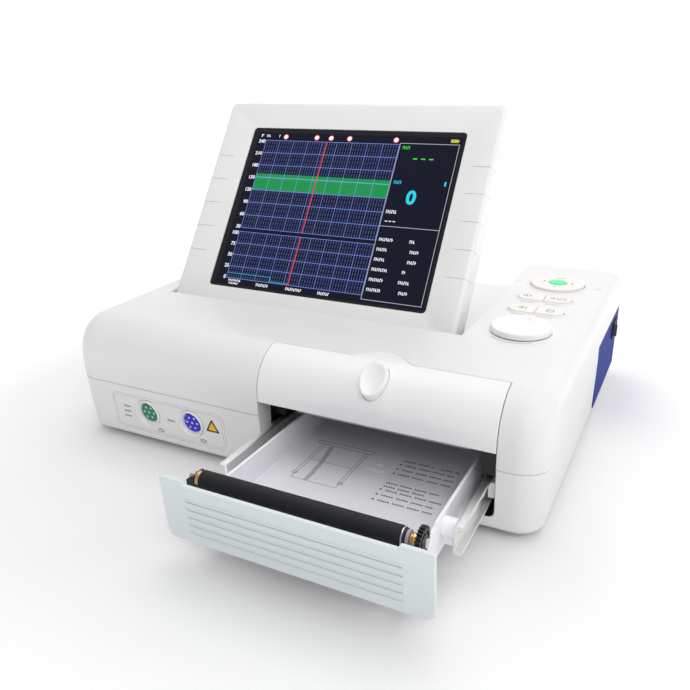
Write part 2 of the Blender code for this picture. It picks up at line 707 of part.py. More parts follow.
def make_tray():
    outer = (TRAY_LEFT - TRAY_WALL, TRAY_RIGHT + TRAY_WALL)
    shell = box(outer[0], outer[1], TRAY_FRONT, TRAY_BACK, TRAY_BOTTOM, TRAY_TOP)
    tray = piece("paper_tray", shell, "tray_white")
    inner = (TRAY_LEFT, TRAY_RIGHT, TRAY_FRONT + TRAY_WALL, TRAY_BACK - TRAY_WALL)
    room = merged(
        box(*inner, TRAY_FLOOR, TRAY_TOP + 10),
        box(*inner, TRAY_BOTTOM - 5, TRAY_FLOOR - 2),
    )
    boolean(tray, cutter("tray_room", room))
    lugs = []
    for y in (RAIL_FRONT, -50):
        lugs.append(box(outer[1] - 1, BAY_RIGHT - RAIL_INSET + 0.2, y, y + 14, 25, 36.5))
        lugs.append(box(BAY_LEFT + RAIL_INSET - 0.2, outer[0] + 1, y, y + 14, 25, 36.5))
    boolean(tray, cutter("tray_lugs", merged(*lugs)), "UNION")


def rail_profile(side):
    """C channel that opens outward, as (x, z) points."""
    web = BAY_RIGHT - RAIL_INSET + 0.5
    lip = BAY_RIGHT - 3.0
    inner = web + RAIL_GAUGE
    points = [(web, RAIL_BOTTOM), (lip, RAIL_BOTTOM), (lip, RAIL_BOTTOM + RAIL_GAUGE)]
    points += [(inner, RAIL_BOTTOM + RAIL_GAUGE), (inner, RAIL_TOP - RAIL_GAUGE)]
    points += [(lip, RAIL_TOP - RAIL_GAUGE), (lip, RAIL_TOP), (web, RAIL_TOP)]
    return points if side == "right" else mirrored(points)


def mirrored(points):
    """The same outline on the bay's other side."""
    return [(2 * BAY_MIDDLE - x, z) for x, z in points[::-1]]


def outer_rail_profile(side):
    """Fixed member: a bar with a ball groove in its top and bottom, riding in the channel."""
    low, high = RAIL_BOTTOM + RAIL_GAUGE + 0.5, RAIL_TOP - RAIL_GAUGE - 0.5
    near, far = BAY_RIGHT - RAIL_INSET + 2.4, BAY_RIGHT - 0.4
    points = [(near, low), (near + 1.2, low), (near + 1.8, low + 1.2), (near + 2.4, low), (far, low)]
    points += [(far, high), (near + 2.4, high), (near + 1.8, high - 1.2), (near + 1.2, high), (near, high)]
    return points if side == "right" else mirrored(points)


def make_rails():
    for side in ("left", "right"):
        piece(f"rail_inner_{side}", prism(rail_profile(side), "Y", RAIL_FRONT, TRAY_BACK), "rail_steel")
        fixed = prism(outer_rail_profile(side), "Y", FIXED_RAIL_FRONT, BAY_BACK - 2)
        piece(f"rail_outer_{side}", fixed, "rail_steel")


def make_bearing_block(name, low, high, foot):
    """Plastic block with a round bore for the roller's shaft."""
    outline = [(ROLLER_Y - 5.2, foot), (ROLLER_Y + 6.2, foot), (ROLLER_Y + BEARING_RADIUS, ROLLER_Z)]
    for t in turns(24)[1:12]:
        outline.append((ROLLER_Y + BEARING_RADIUS * math.cos(t), ROLLER_Z + BEARING_RADIUS * math.sin(t)))
    outline.append((ROLLER_Y - BEARING_RADIUS, ROLLER_Z))
    block = piece(name, prism(outline, "X", low, high), "plastic_black")
    bore = rod("X", ROLLER_Y, ROLLER_Z, SHAFT_RADIUS + 0.1, low - 3, high + 3)
    boolean(block, cutter(name + "_bore", bore))


def make_roller():
    axis = (BAY_MIDDLE, ROLLER_Y, ROLLER_Z)
    rubber = tube("X", ROLLER_Y, ROLLER_Z, ROLLER_RADIUS, SHAFT_RADIUS + 0.02, ROLLER_LEFT, ROLLER_RIGHT, 36)
    piece("platen_roller", rubber, "rubber_black", axis)
    shaft = rod("X", ROLLER_Y, ROLLER_Z, SHAFT_RADIUS, -1.8, GEAR_RIGHT + 1.2, 36)
    piece("roller_shaft", shaft, "shaft_steel", axis)
    wheel, hole = gear(ROLLER_Y, ROLLER_Z, GEAR_TEETH, SHAFT_RADIUS + 0.02, GEAR_LEFT + 0.4, GEAR_RIGHT, 0.0)
    toothed = piece("roller_gear", wheel, "plastic_black", axis)
    boolean(toothed, cutter("roller_gear_bore", hole))
    make_bearing_block("bearing_block_left", -2.4, 3.9, TRAY_TOP - 0.2)
    make_bearing_block("bearing_block_right", 120.2, 124.4, TRAY_FLOOR + GAP)


# ---- screen --------------------------------------------------------------------------------------


def screen_frame():
    """Local frame of the screen: X across, Y up its face, Z out of its face; the hinge is the origin."""
    up = Vector((0, math.sin(SCREEN_TILT), math.cos(SCREEN_TILT)))
    out = Vector((0, -math.cos(SCREEN_TILT), math.sin(SCREEN_TILT)))
    turn = Matrix((Vector((1, 0, 0)), up, out)).transposed().to_4x4()
    return Matrix.Translation((0, HINGE_Y, HINGE_Z)) @ turn


def screen_half(front, inward=0.0):
    """Side view of the front or the back shell as (up, out) points, split on the hinge's plane."""
    radius = SCREEN_HALF - inward
    sign = 1 if front else -1
    split = GAP / 2 if inward == 0 else -1.0
    chamfer = 4.0 if front else 6.0
    points = [(-radius, sign * split)]
    for angle in map(math.radians, (22, 45, 67, 90)):
        points.append((-radius * math.cos(angle), sign * radius * math.sin(angle)))
    points += [
        (SCREEN_LENGTH - inward - chamfer, sign * radius),
        (SCREEN_LENGTH - inward - chamfer * 0.3, sign * (radius - chamfer * 0.3)),
        (SCREEN_LENGTH - inward, sign * (radius - chamfer)),
        (SCREEN_LENGTH - inward, sign * split),
    ]
    return points


def screen_axle_cut(name):
    """Room for the hinge shaft through a screen shell."""
    bore = rod("X", 0, 0, HINGE_SHAFT_RADIUS + 0.12, SCREEN_LEFT - 5, SCREEN_RIGHT + 5)
    return cutter(name, bore, screen_frame())


def window_cut(rect, facet, depth):
    """The bevelled frame that slopes from the front face down to the glass."""
    def ring(bounds, out):
        a0, a1, b0, b1 = bounds
        return [(a0, b0, out), (a1, b0, out), (a1, b1, out), (a0, b1, out)]

    reach = 3.0
    grown = [facet[0] - reach, facet[1] + reach, facet[2] - reach, facet[3] + reach]
    rings = [ring(rect, -6.0), ring(rect, SCREEN_HALF - depth)]
    rings += [ring(facet, SCREEN_HALF), ring(grown, SCREEN_HALF + 1)]
    return loft(rings)


def make_screen():
    frame = screen_frame()
    origin = frame.translation
    for name, front in (("bezel", True), ("back", False)):
        outside = prism(screen_half(front), "X", SCREEN_LEFT, SCREEN_RIGHT)
        shell = piece(f"screen_{name}", outside, "casing_white", origin, frame)
        edges = (SCREEN_LEFT + SCREEN_WALL, SCREEN_RIGHT - SCREEN_WALL)
        inside = prism(screen_half(front, SCREEN_WALL), "X", *edges)
        boolean(shell, cutter(f"{name}_inside", inside, frame))
        if front:
            boolean(shell, cutter("bezel_window", window_cut(GLASS, FACET, 2.0), frame))
        boolean(shell, screen_axle_cut(f"{name}_axle"))
    pane = box(GLASS[0] + GAP, GLASS[1] - GAP, GLASS[2] + GAP, GLASS[3] - GAP, 6.6, SCREEN_HALF - 2.1)
    piece("display_glass", pane, "glass_black", origin, frame)
    panel = box(GLASS[0] - 6, GLASS[1] + 4, GLASS[2] - 5, GLASS[3] + 8, 0.5, 6.2)
    piece("lcd_panel", panel, "heatsink_grey", origin, frame)
    shaft = rod("X", HINGE_Y, HINGE_Z, HINGE_SHAFT_RADIUS, WELL_LEFT - 8, WELL_RIGHT + 8)
    piece("hinge_shaft", shaft, "shaft_steel", origin)
    for side, x in (("left", WELL_LEFT - WALL - 6.5), ("right", WELL_RIGHT + WALL + 0.5)):
        shape = box(x, x + 6, HINGE_Y - 8, HINGE_Y + 8, 66, 86.5)
        block = piece(f"hinge_bracket_{side}", shape, "heatsink_grey")
        bore = rod("X", HINGE_Y, HINGE_Z, HINGE_SHAFT_RADIUS + 0.1, x - 5, x + 11)
        boolean(block, cutter(f"bracket_bore_{side}", bore))


# ---- controls ------------------------------------------------------------------------------------


def make_controls():
    for row, y in enumerate(KEY_ROWS):
        place = control_plane(0, y)
        halves = (
            ("left", pill(KEY_EDGES[0], KEY_EDGES[1] - GAP / 2, KEY_HALF_DEPTH, True, False)),
            ("right", pill(KEY_EDGES[1] + GAP / 2, KEY_EDGES[2], KEY_HALF_DEPTH, False, True)),
        )
        for side, outline in halves:
            name = f"key_{('front', 'back')[row]}_{side}"
            piece(name, prism(outline, "Z", KEY_UNDERSIDE, 1.2), "key_white", place.translation, place)
    place = control_plane(*PAD)
    ring = tube("Z", 0, 0, 20.0, 7.0, KEY_UNDERSIDE, 1.6, 40)
    piece("ring_pad", ring, "key_white", place.translation, place)
    piece("start_key", rod("Z", 0, 0, 6.6, KEY_UNDERSIDE, 1.0, 28), "key_green", place.translation, place)
    place = control_plane(*KNOB)
    knob = piece("knob", rod("Z", 0, 0, 19.75, 0.6, 4.4, 40), "key_white", place.translation, place)
    dimple = bmesh.new()
    bmesh.ops.create_uvsphere(dimple, u_segments=16, v_segments=12, radius=9)
    bmesh.ops.translate(dimple, vec=(0, 11.5, 12.0), verts=dimple.verts)
    boolean(knob, cutter("knob_dimple", dimple, place))
    boolean(knob, cutter("knob_stem", rod("Z", 0, 0, 3.0, -8, 2, 16), place), "UNION")
    piece("encoder_body", tube("Z", 0, 0, 9.0, 3.2, -16, -3.2, 20), "heatsink_grey", turn=place)
    board_x, board_y, half_width, half_depth = KEY_BOARD
    board_place = control_plane(board_x, board_y)
    plate = box(-half_width, half_width, -half_depth, half_depth, -8.2, -6.6)
    board = piece("key_board", plate, "board_green", turn=board_place)
    middles = [(near + far) / 2 for near, far in zip(KEY_EDGES, KEY_EDGES[1:])]
    switches = [(x - board_x, y - board_y) for x in middles for y in KEY_ROWS]
    switches.append((PAD[0] - board_x, PAD[1] - board_y))
    blocks = merged(*[box(x - 5, x + 5, y - 5, y + 5, -7, KEY_SWITCH_TOP) for x, y in switches])
    boolean(board, cutter("key_board_parts", blocks, board_place), "UNION")


# ---- sockets, side panels and electrics ----------------------------------------------------------


def make_sockets():
    place = front_plane(0, SOCKET_Z)
    edges = rounded(LABEL[0], LABEL[1], LABEL[2] - SOCKET_Z + GAP, LABEL[3] - SOCKET_Z, 6)
    plate = prism(edges, "Y", 0.0, 0.4)
    label = piece("socket_label", plate, "label_grey", turn=place)
    holes = merged(*[rod("Y", x, 0, SOCKET_RADIUS + GAP, -3, 5, 32) for x in SOCKETS.values()])
    boolean(label, cutter("label_holes", holes, place))
    for side, x in SOCKETS.items():
        rim = rod("Y", x, 0, SOCKET_RADIUS, -1.6, 0.4, 36)
        shell = piece(f"socket_shell_{side}", rim, "cover_white", turn=place)
        barrel = rod("Y", x, 0, SOCKET_RADIUS - 2, -0.6, 10, 36)
        boolean(shell, cutter(f"socket_barrel_{side}", barrel, place), "UNION")
        boolean(shell, cutter(f"socket_bore_{side}", rod("Y", x, 0, INSERT_RADIUS + 0.2, -4, 14, 36), place))
        colour = {"left": "insert_green", "right": "insert_blue"}[side]
        core = rod("Y", x, 0, INSERT_RADIUS, 2.0, 9.5, 36)
        insert = piece(f"socket_insert_{side}", core, colour, turn=place)
        pins = [rod("Y", x, 0, 0.9, 1, 7, 8)]
        pins += [rod("Y", x + 4.2 * math.cos(t), 4.2 * math.sin(t), 0.9, 1, 7, 8) for t in turns(6)]
        boolean(insert, cutter(f"pin_holes_{side}", merged(*pins), place))


def make_side_panels():
    for side, sign in (("left", -1), ("right", 1)):
        near, far = sorted((sign * (HALF_WIDTH - 3.0), sign * (HALF_WIDTH - 0.4)))
        panel = piece(f"side_panel_{side}", prism(panel_outline(), "X", near, far), "panel_blue")
        if side == "right":
            hole = switch_box(0.2, near - 5, far + 5)
            boolean(panel, cutter("switch_hole", hole))


def switch_box(inset, low, high):
    return box(low, high, SWITCH[0] + inset, SWITCH[1] - inset, SWITCH[2] + inset, SWITCH[3] - inset)


def make_power_switch():
    frame = piece("power_switch_frame", switch_box(0, SWITCH_FACE, SWITCH_FACE + 1.2), "plastic_black")
    boolean(frame, cutter("switch_body", switch_box(0.5, SWITCH_FACE - 14, SWITCH_FACE + 0.6)), "UNION")
    boolean(frame, cutter("switch_pocket", switch_box(1.2, SWITCH_FACE - 8, SWITCH_FACE + 5)))
    middle = (SWITCH[0] + SWITCH[1]) / 2
    pivot = SWITCH_FACE - 2.5
    reach = (SWITCH[1] - SWITCH[0]) / 2 - 1.5
    outline = []
    for t in map(math.radians, (-8, 0, 19)):
        outline.append((pivot + reach * math.sin(t), middle + reach * math.cos(t)))
    outline += [(pivot + 3.1, middle)]
    for t in map(math.radians, (38.4, 19, 0, -8)):
        outline.append((pivot + reach * math.sin(t), middle - reach * math.cos(t)))
    rocker = prism(outline, "Z", SWITCH[2] + 1.5, SWITCH[3] - 1.5)
    piece("power_rocker", rocker, "plastic_black", (pivot, middle, (SWITCH[2] + SWITCH[3]) / 2))


def make_inlet():
    """Three-pin mains inlet in the rear wall."""
    y = INLET_BACK - 1.6
    flange = box(INLET_X - 17, INLET_X + 17, y, INLET_BACK, INLET_Z - 13, INLET_Z + 13)
    inlet = piece("mains_inlet", flange, "plastic_black")
    body = box(INLET_X - 13.6, INLET_X + 13.6, y - 22, y + 0.8, INLET_Z - 10, INLET_Z + 10)
    boolean(inlet, cutter("inlet_body", body), "UNION")
    cavity = box(INLET_X - 11.5, INLET_X + 11.5, y - 16, y + 5, INLET_Z - 8, INLET_Z + 8)
    boolean(inlet, cutter("inlet_cavity", cavity))
    blades = []
    for x, z in ((INLET_X - 7, INLET_Z - 2), (INLET_X, INLET_Z + 3), (INLET_X + 7, INLET_Z - 2)):
        blades.append(box(x - 1, x + 1, y - 18, y - 5, z - 2.5, z + 2.5))
    boolean(inlet, cutter("inlet_blades", merged(*blades)), "UNION")


def make_electrics():
    board = piece("main_board", box(-150, -20, 62, 176, 13, 14.6), "board_green")
    parts = merged(
        *[box(x, x + 6, y, y + 6, 7.1, 13.8) for x in (-147, -29) for y in (66, 166)],
        box(-110, -84, 100, 126, 14, 17),
        box(-70, -40, 80, 92, 14, 26),
        box(-130, -118, 130, 160, 14, 24),
        box(-70, -45, 130, 150, 14, 19),
    )
    boolean(board, cutter("board_parts", parts), "UNION")
    supply = piece("power_supply", box(0, 96, 84, 180, 7.1, 40), "heatsink_grey")
    fins = [box(x, x + 4, 80, 184, 30, 50) for x in range(8, 90, 9)]
    boolean(supply, cutter("supply_fins", merged(*fins)))
    piece("battery_pack", prism(rounded(-147, -63, 8.0, 29.0, 4), "Y", -47, 2), "plastic_black")
    cover = box(-150 + GAP, -60 - GAP, -50 + GAP, 5 - GAP, BASE, BASE + 2.2)
    piece("battery_cover", cover, "casing_white")
    speaker = piece("speaker", tube("Z", *SPEAKER, 21, 16, 7.2, 11, 32), "plastic_black")
    boolean(speaker, cutter("speaker_basket", rod("Z", *SPEAKER, 18, 9.5, 20, 32)), "UNION")


def make_feet_and_screws():
    for name, (x, y) in FEET.items():
        piece(f"foot_{name}", rod("Z", x, y, 8, 0, BASE - GAP, 24), "rubber_black")
    for number, (x, y) in enumerate(BOSSES, 1):
        screw = piece(f"case_screw_{number}", rod("Z", x, y, 3.5, BASE + 0.2, BASE + 2.0, 16), "shaft_steel")
        shank = rod("Z", x, y, 1.15, BASE + 1, SEAM + 12, 12)
        boolean(screw, cutter(f"screw_shank_{number}", shank), "UNION")


def main():
    clear_scene()
    make_bottom_case()
    make_top_case()
    make_printer_cover()
    make_release_button()
    make_latch_lever()
    make_chassis()
    make_drive()
    make_print_head()
    make_drawer_front()
    make_tray()
    make_rails()
    make_roller()
    make_screen()
    make_controls()
    make_sockets()
    make_side_panels()
    make_power_switch()
    make_inlet()
    make_electrics()
    make_feet_and_screws()


main()
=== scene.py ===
import json
import math

import bmesh
import bpy
from mathutils import Matrix, Vector


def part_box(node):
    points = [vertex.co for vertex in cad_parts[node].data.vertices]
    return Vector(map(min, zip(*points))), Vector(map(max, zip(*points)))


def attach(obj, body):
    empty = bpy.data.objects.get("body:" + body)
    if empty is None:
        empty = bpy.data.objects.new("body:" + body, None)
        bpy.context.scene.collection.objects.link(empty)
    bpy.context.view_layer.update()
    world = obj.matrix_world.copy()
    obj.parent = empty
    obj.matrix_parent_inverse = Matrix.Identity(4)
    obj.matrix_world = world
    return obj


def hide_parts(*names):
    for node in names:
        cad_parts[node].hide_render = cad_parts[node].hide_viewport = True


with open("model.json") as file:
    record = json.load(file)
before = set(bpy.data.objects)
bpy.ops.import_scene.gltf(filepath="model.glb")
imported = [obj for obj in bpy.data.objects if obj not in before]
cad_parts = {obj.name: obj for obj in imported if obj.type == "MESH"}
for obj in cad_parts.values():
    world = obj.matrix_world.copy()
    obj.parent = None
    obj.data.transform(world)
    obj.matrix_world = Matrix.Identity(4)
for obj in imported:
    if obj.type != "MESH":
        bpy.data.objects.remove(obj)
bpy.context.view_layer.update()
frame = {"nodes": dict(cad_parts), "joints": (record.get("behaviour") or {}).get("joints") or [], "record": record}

# Lengths are millimetres in the casing's frame: X from its middle, Z from the table, and Y so that the
# screen's hinge is at HINGE_Y.
MM = 0.001
GAP = 0.3
HINGE_Y = -7.0
HINGE_Z = 79.7
JOINTS = {joint["name"]: joint for joint in frame["joints"]}
CASE_LOW, CASE_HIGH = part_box("bottom_case")
HINGE_PLACE = Vector(JOINTS["screen_tilt"]["pos_m"])
ORIGIN = Vector(((CASE_LOW.x + CASE_HIGH.x) / 2, HINGE_PLACE.y - HINGE_Y * MM, 0))

HALF_WIDTH = 169.0
FRONT = -100.0
BACK = 194.0
BASE = 4.3
SEAM = 46.0
WALL = 2.5
CORNER = 18.0
REAR_CORNER = 8.0
DRAFT_TOP = 51.0
FRONT_DRAFT = 0.1
SIDE_DRAFT = 0.03
BASE_FILLET = 5.0
ARC_START = 63.0
ARC_RADIUS = 26.0
ARC_Y = FRONT + ARC_RADIUS
SIDE_ARC_START = 76.0
SIDE_RADIUS = 13.0
REAR_ARC_RADIUS = 35.0
REAR_ARC_START = 54.0
TOP_SLOPE = 0.0262
SLOPE_Y = -76.0
TOP = ARC_START + ARC_RADIUS

BAY_LEFT, BAY_RIGHT, BAY_BOTTOM, BAY_TOP = -11.0, 142.0, 14.0, 56.0
BAY_MIDDLE = (BAY_LEFT + BAY_RIGHT) / 2
LIP_BACK = -85.0
DRAWER_OUT = 93.6
COVER_BACK = -76.3
BULGE_LEFT, BULGE_RIGHT, BULGE_DEPTH = 45.6, 82.6, 12.0
COVER_THICKNESS = 2.2
WELL_LEFT, WELL_RIGHT, WELL_FRONT, WELL_DEPTH, WELL_ROUND_Y = -144.5, 94.0, -18.5, 24.0, 168.0
SCREEN_TILT = math.radians(34.3)
SCREEN_LEFT, SCREEN_RIGHT, SCREEN_HALF, SCREEN_LENGTH, SCREEN_WALL = -142.7, 88.6, 11.0, 171.8, 2.4
GLASS = (-114.5, 64.5, 14.4, 150.0)
FACET = (-128.5, 74.7, 3.0, 162.0)
SOCKETS = {"left": -105.0, "right": -67.4}
SOCKET_Z = 27.5
LABEL = (-136.0, -40.0, 11.4, 39.3)
KNOB = (127.0, 3.0)
PAD = (128.6, 112.0)
KEY_ROWS = (45.5, 73.5)
KEY_HALF_DEPTH = 7.0
KEY_EDGES = (108.0, 127.2, 146.3)
PANEL = (70.0, 184.0, 11.0, 63.0)
PANEL_SLANT = 10.0
INLET_X, INLET_Z = 110.0, 28.0
BOSSES = [(-152, -82), (156, -82), (-155, 176), (152, 176)]
ROLLER_Y, ROLLER_Z = -177.5, 47.3


# Materials


FINISH = {}


def srgb(red, green, blue):
    """Linear colour from 0 to 255 screen values."""
    shares = [value / 255 for value in (red, green, blue)]
    return tuple(((s + 0.055) / 1.055) ** 2.4 if s > 0.04 else s / 12.92 for s in shares)


def link(tree, source, target):
    tree.links.new(source, target)


def set_inputs(node, values):
    for name, value in values.items():
        node.inputs[name].default_value = value


def add_node(tree, kind, values=None):
    node = tree.nodes.new(f"ShaderNode{kind}")
    set_inputs(node, values or {})
    return node


def add_finish(name, values):
    """Files a new material under FINISH and gives back its node tree and its shader."""
    FINISH[name] = bpy.data.materials.new(name)
    FINISH[name].use_nodes = True
    tree = FINISH[name].node_tree
    shader = tree.nodes["Principled BSDF"]
    set_inputs(shader, values)
    return tree, shader


def surface(name, colour, roughness, metallic=0.0, grain=2600.0, bump=0.12, mottle=0.03,
            stretch=(1, 1, 1), coat=0.0, specular=0.5):
    """Finish with a fine grain in its normal, a slow drift in its colour and an uneven roughness."""
    values = {"Metallic": metallic, "Specular IOR Level": specular}
    values.update({"Coat Weight": coat, "Coat Roughness": 0.12})
    tree, shader = add_finish(name, values)
    place = add_node(tree, "TexCoord")
    mapping = add_node(tree, "Mapping", {"Scale": stretch})
    link(tree, place.outputs["Object"], mapping.inputs["Vector"])

    def noise(scale, detail):
        node = add_node(tree, "TexNoise", {"Scale": scale, "Detail": detail})
        link(tree, mapping.outputs["Vector"], node.inputs["Vector"])
        return node.outputs["Fac"]

    drift = add_node(tree, "Mix")
    drift.data_type = "RGBA"
    dark, light = ([min(c * (1 + sign * mottle), 1) for c in colour] for sign in (-1, 1))
    set_inputs(drift, {"A": (*dark, 1), "B": (*light, 1)})
    link(tree, noise(22.0, 3.0), drift.inputs["Factor"])
    link(tree, drift.outputs["Result"], shader.inputs["Base Color"])
    ends = {"To Min": max(roughness - 0.07, 0.02), "To Max": min(roughness + 0.07, 1.0)}
    spread = add_node(tree, "MapRange", ends)
    link(tree, noise(160.0, 4.0), spread.inputs["Value"])
    link(tree, spread.outputs["Result"], shader.inputs["Roughness"])
    relief = add_node(tree, "Bump", {"Strength": bump, "Distance": 0.00012})
    link(tree, noise(grain, 2.0), relief.inputs["Height"])
    link(tree, relief.outputs["Normal"], shader.inputs["Normal"])
    return tree, shader


def glow(name, colour, strength=1.0, gloss=0.1):
    """A lit element of the screen's picture, behind a glossy face."""
    values = {"Base Color": (0.004, 0.004, 0.006, 1), "Roughness": gloss, "Specular IOR Level": 0.2}
    values.update({"Emission Color": (*colour, 1), "Emission Strength": strength})
    add_finish(name, values)


surface("casing_white", (0.80, 0.795, 0.795), 0.42, coat=0.08)
surface("cover_white", (0.88, 0.87, 0.88), 0.40, coat=0.1)
surface("drawer_grey", (0.70, 0.755, 0.775), 0.38, coat=0.1)
# The tray is white plastic, and its white is set lighter than the casing's as painted light: it makes up for light
# that does not reach the drawer's inside.
surface("tray_white", (0.90, 0.885, 0.92), 0.45)
surface("label_grey", (0.79, 0.785, 0.785), 0.42, bump=0.05)
surface("floor_film", (0.79, 0.78, 0.82), 0.34, bump=0.04)
surface("film_print", (0.46, 0.46, 0.49), 0.4, bump=0.0)
surface("post_grey", (0.36, 0.34, 0.41), 0.45)
surface("key_white", (0.86, 0.83, 0.79), 0.50, bump=0.2)
glow("key_green", srgb(110, 250, 175), 0.9, 0.4)
surface("panel_blue", srgb(20, 44, 138), 0.65, bump=0.3, grain=1500.0, specular=0.15)
surface("insert_green", srgb(0, 132, 96), 0.42, bump=0.1)
surface("insert_blue", srgb(28, 22, 212), 0.42, bump=0.1)
surface("glass_black", (0.006, 0.006, 0.010), 0.09, bump=0.0, mottle=0.0)
surface("rubber_black", (0.012, 0.0125, 0.015), 0.6, grain=1800.0, bump=0.5, mottle=0.15, specular=0.3)
surface("plastic_black", (0.012, 0.012, 0.013), 0.38, bump=0.15)
surface("rail_steel", (0.93, 0.94, 0.93), 0.36, 1.0, grain=900.0, bump=0.25, stretch=(1, 0.03, 1))
surface("shaft_steel", (0.66, 0.65, 0.63), 0.22, 1.0, grain=1200.0, bump=0.15, stretch=(0.1, 1, 1))
surface("board_green", (0.02, 0.20, 0.09), 0.4, bump=0.4, grain=500.0)
surface("heatsink_grey", (0.42, 0.43, 0.45), 0.38, 1.0, grain=1500.0, bump=0.3)
surface("brass", (0.83, 0.52, 0.20), 0.28, 1.0, grain=1200.0, bump=0.1)
surface("ink_black", (0.02, 0.02, 0.02), 0.5, bump=0.0)
surface("ink_grey", (0.10, 0.10, 0.11), 0.5, bump=0.0)
surface("ink_soft", (0.27, 0.27, 0.28), 0.5, bump=0.0)
surface("ink_white", (0.97, 0.97, 0.98), 0.4, bump=0.0)
surface("amber", srgb(246, 184, 20), 0.4, bump=0.0)
glow("picture", srgb(8, 10, 30))
glow("chart_ground", srgb(8, 11, 42))
glow("minor_line", srgb(98, 118, 182))
glow("major_line", srgb(132, 152, 240))
glow("band_green", srgb(18, 148, 66))
glow("band_line", srgb(70, 190, 150))
glow("cyan", srgb(40, 215, 240))
glow("trace", srgb(30, 170, 180))
glow("cursor_red", srgb(215, 62, 48))
glow("tag_green", srgb(60, 230, 50))
glow("tag_yellow", srgb(200, 200, 40))
glow("picture_white", srgb(240, 243, 250), 1.15)
glow("pane_line", srgb(190, 196, 214))


# Shapes


def add_object(name, data):
    obj = bpy.data.objects.new(name, data)
    bpy.context.scene.collection.objects.link(obj)
    return obj


def raw(name, bm, turn=None):
    """Object from a mesh in casing millimetres; `turn` lifts it from a local frame."""
    if turn is not None:
        bmesh.ops.transform(bm, matrix=turn, verts=bm.verts)
    bmesh.ops.transform(bm, matrix=Matrix.Translation(ORIGIN) @ Matrix.Scale(MM, 4), verts=bm.verts)
    bmesh.ops.recalc_face_normals(bm, faces=bm.faces)
    mesh = bpy.data.meshes.new(name)
    bm.to_mesh(mesh)
    bm.free()
    return add_object(name, mesh)


def carve(target, tool, turn=None, operation="DIFFERENCE"):
    """Cuts, or joins, a shape at once. The shape, a mesh or an object, is used up."""
    other = tool if isinstance(tool, bpy.types.Object) else raw("tool", tool, turn)
    step = target.modifiers.new("carve", "BOOLEAN")
    step.operation = operation
    step.solver = "EXACT"
    step.object = other
    evaluated = target.evaluated_get(bpy.context.evaluated_depsgraph_get())
    mesh = bpy.data.meshes.new_from_object(evaluated)
    target.modifiers.clear()
    target.data = mesh
    bpy.data.objects.remove(other, do_unlink=True)


def join(target, tool, turn=None):
    carve(target, tool, turn, "UNION")


def soften(obj, width, segments=2, angle=32):
    bevel = obj.modifiers.new("soft edges", "BEVEL")
    bevel.width = width * MM
    bevel.segments = segments
    bevel.limit_method = "ANGLE"
    bevel.angle_limit = math.radians(angle)
    bevel.harden_normals = True


def dress(obj, finish, body, replaces=(), edge=0.0, sharp=32):
    """Gives a piece its finish, shading, soft edges and body, and hides the CAD solids it replaces."""
    obj.data.name = obj.name
    obj.data.materials.clear()
    obj.data.materials.append(FINISH[finish])
    for polygon in obj.data.polygons:
        polygon.material_index = 0
    obj.data.shade_smooth()
    obj.data.set_sharp_from_angle(angle=math.radians(sharp))
    if edge:
        soften(obj, edge)
    else:
        weighted = obj.modifiers.new("even normals", "WEIGHTED_NORMAL")
        weighted.keep_sharp = True
    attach(obj, body)
    if replaces:
        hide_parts(*replaces)


def merged(parts):
    """One mesh with the separate closed bodies of several."""
    whole = bmesh.new()
    for part in parts:
        copy = bpy.data.meshes.new("joined")
        part.to_mesh(copy)
        part.free()
        whole.from_mesh(copy)
        bpy.data.meshes.remove(copy)
    return whole


def bridge(bm, low, high):
    """Faces between two rings of vertices."""
    for j in range(len(low)):
        k = (j + 1) % len(low)
        bm.faces.new((low[j], low[k], high[k], high[j]))


def prism(points, axis, low, high):
    """A closed outline swept along X, Y or Z. Its two numbers are the other two axes in X, Y, Z order."""
    order = {"X": (2, 0, 1), "Y": (0, 2, 1), "Z": (0, 1, 2)}[axis]
    bm = bmesh.new()
    near, far = ([bm.verts.new([(a, b, h)[k] for k in order]) for a, b in points] for h in (low, high))
    bm.faces.new(near)
    bm.faces.new(far)
    bridge(bm, near, far)
    return bm


def box(x0, x1, y0, y1, z0, z1):
    return prism([(x0, y0), (x1, y0), (x1, y1), (x0, y1)], "Z", z0, z1)


def turns(steps, start=0.0, sweep=2 * math.pi):
    return [start + sweep * i / steps for i in range(steps)]


def circle(a, b, radius, steps=48):
    return [(a + radius * math.cos(t), b + radius * math.sin(t)) for t in turns(steps)]


def rod(axis, a, b, radius, low, high, steps=48):
    return prism(circle(a, b, radius, steps), axis, low, high)


def fillet(corners, steps=4):
    """Outline through (a, b, radius) corners, each rounded by an arc."""
    points = []
    for i, (a, b, radius) in enumerate(corners):
        here = Vector((a, b))
        toward = (Vector(corners[i - 1][:2]) - here).normalized()
        onward = (Vector(corners[(i + 1) % len(corners)][:2]) - here).normalized()
        half = toward.angle(onward) / 2
        centre = here + (toward + onward).normalized() * radius / math.sin(half)
        first = here + toward * radius / math.tan(half) - centre
        last = here + onward * radius / math.tan(half) - centre
        sweep = first.angle_signed(last)
        for k in range(steps + 1):
            turned = first.copy()
            turned.rotate(Matrix.Rotation(-sweep * k / steps, 2))
            points.append(tuple(centre + turned))
    return points


def rounded(a0, a1, b0, b1, radius, steps=6, far_radius=None):
    """Outline of a rectangle with round corners; `far_radius` is for the two corners at b1."""
    far = radius if far_radius is None else far_radius
    corners = ((a1, b1, -1, -1, far), (a0, b1, 1, -1, far), (a0, b0, 1, 1, radius), (a1, b0, -1, 1, radius))
    points = []
    for quarter, (a, b, toward_a, toward_b, r) in enumerate(corners):
        for i in range(steps + 1):
            angle = math.pi / 2 * (quarter + i / steps)
            points.append((a + r * (toward_a + math.cos(angle)), b + r * (toward_b + math.sin(angle))))
    return points


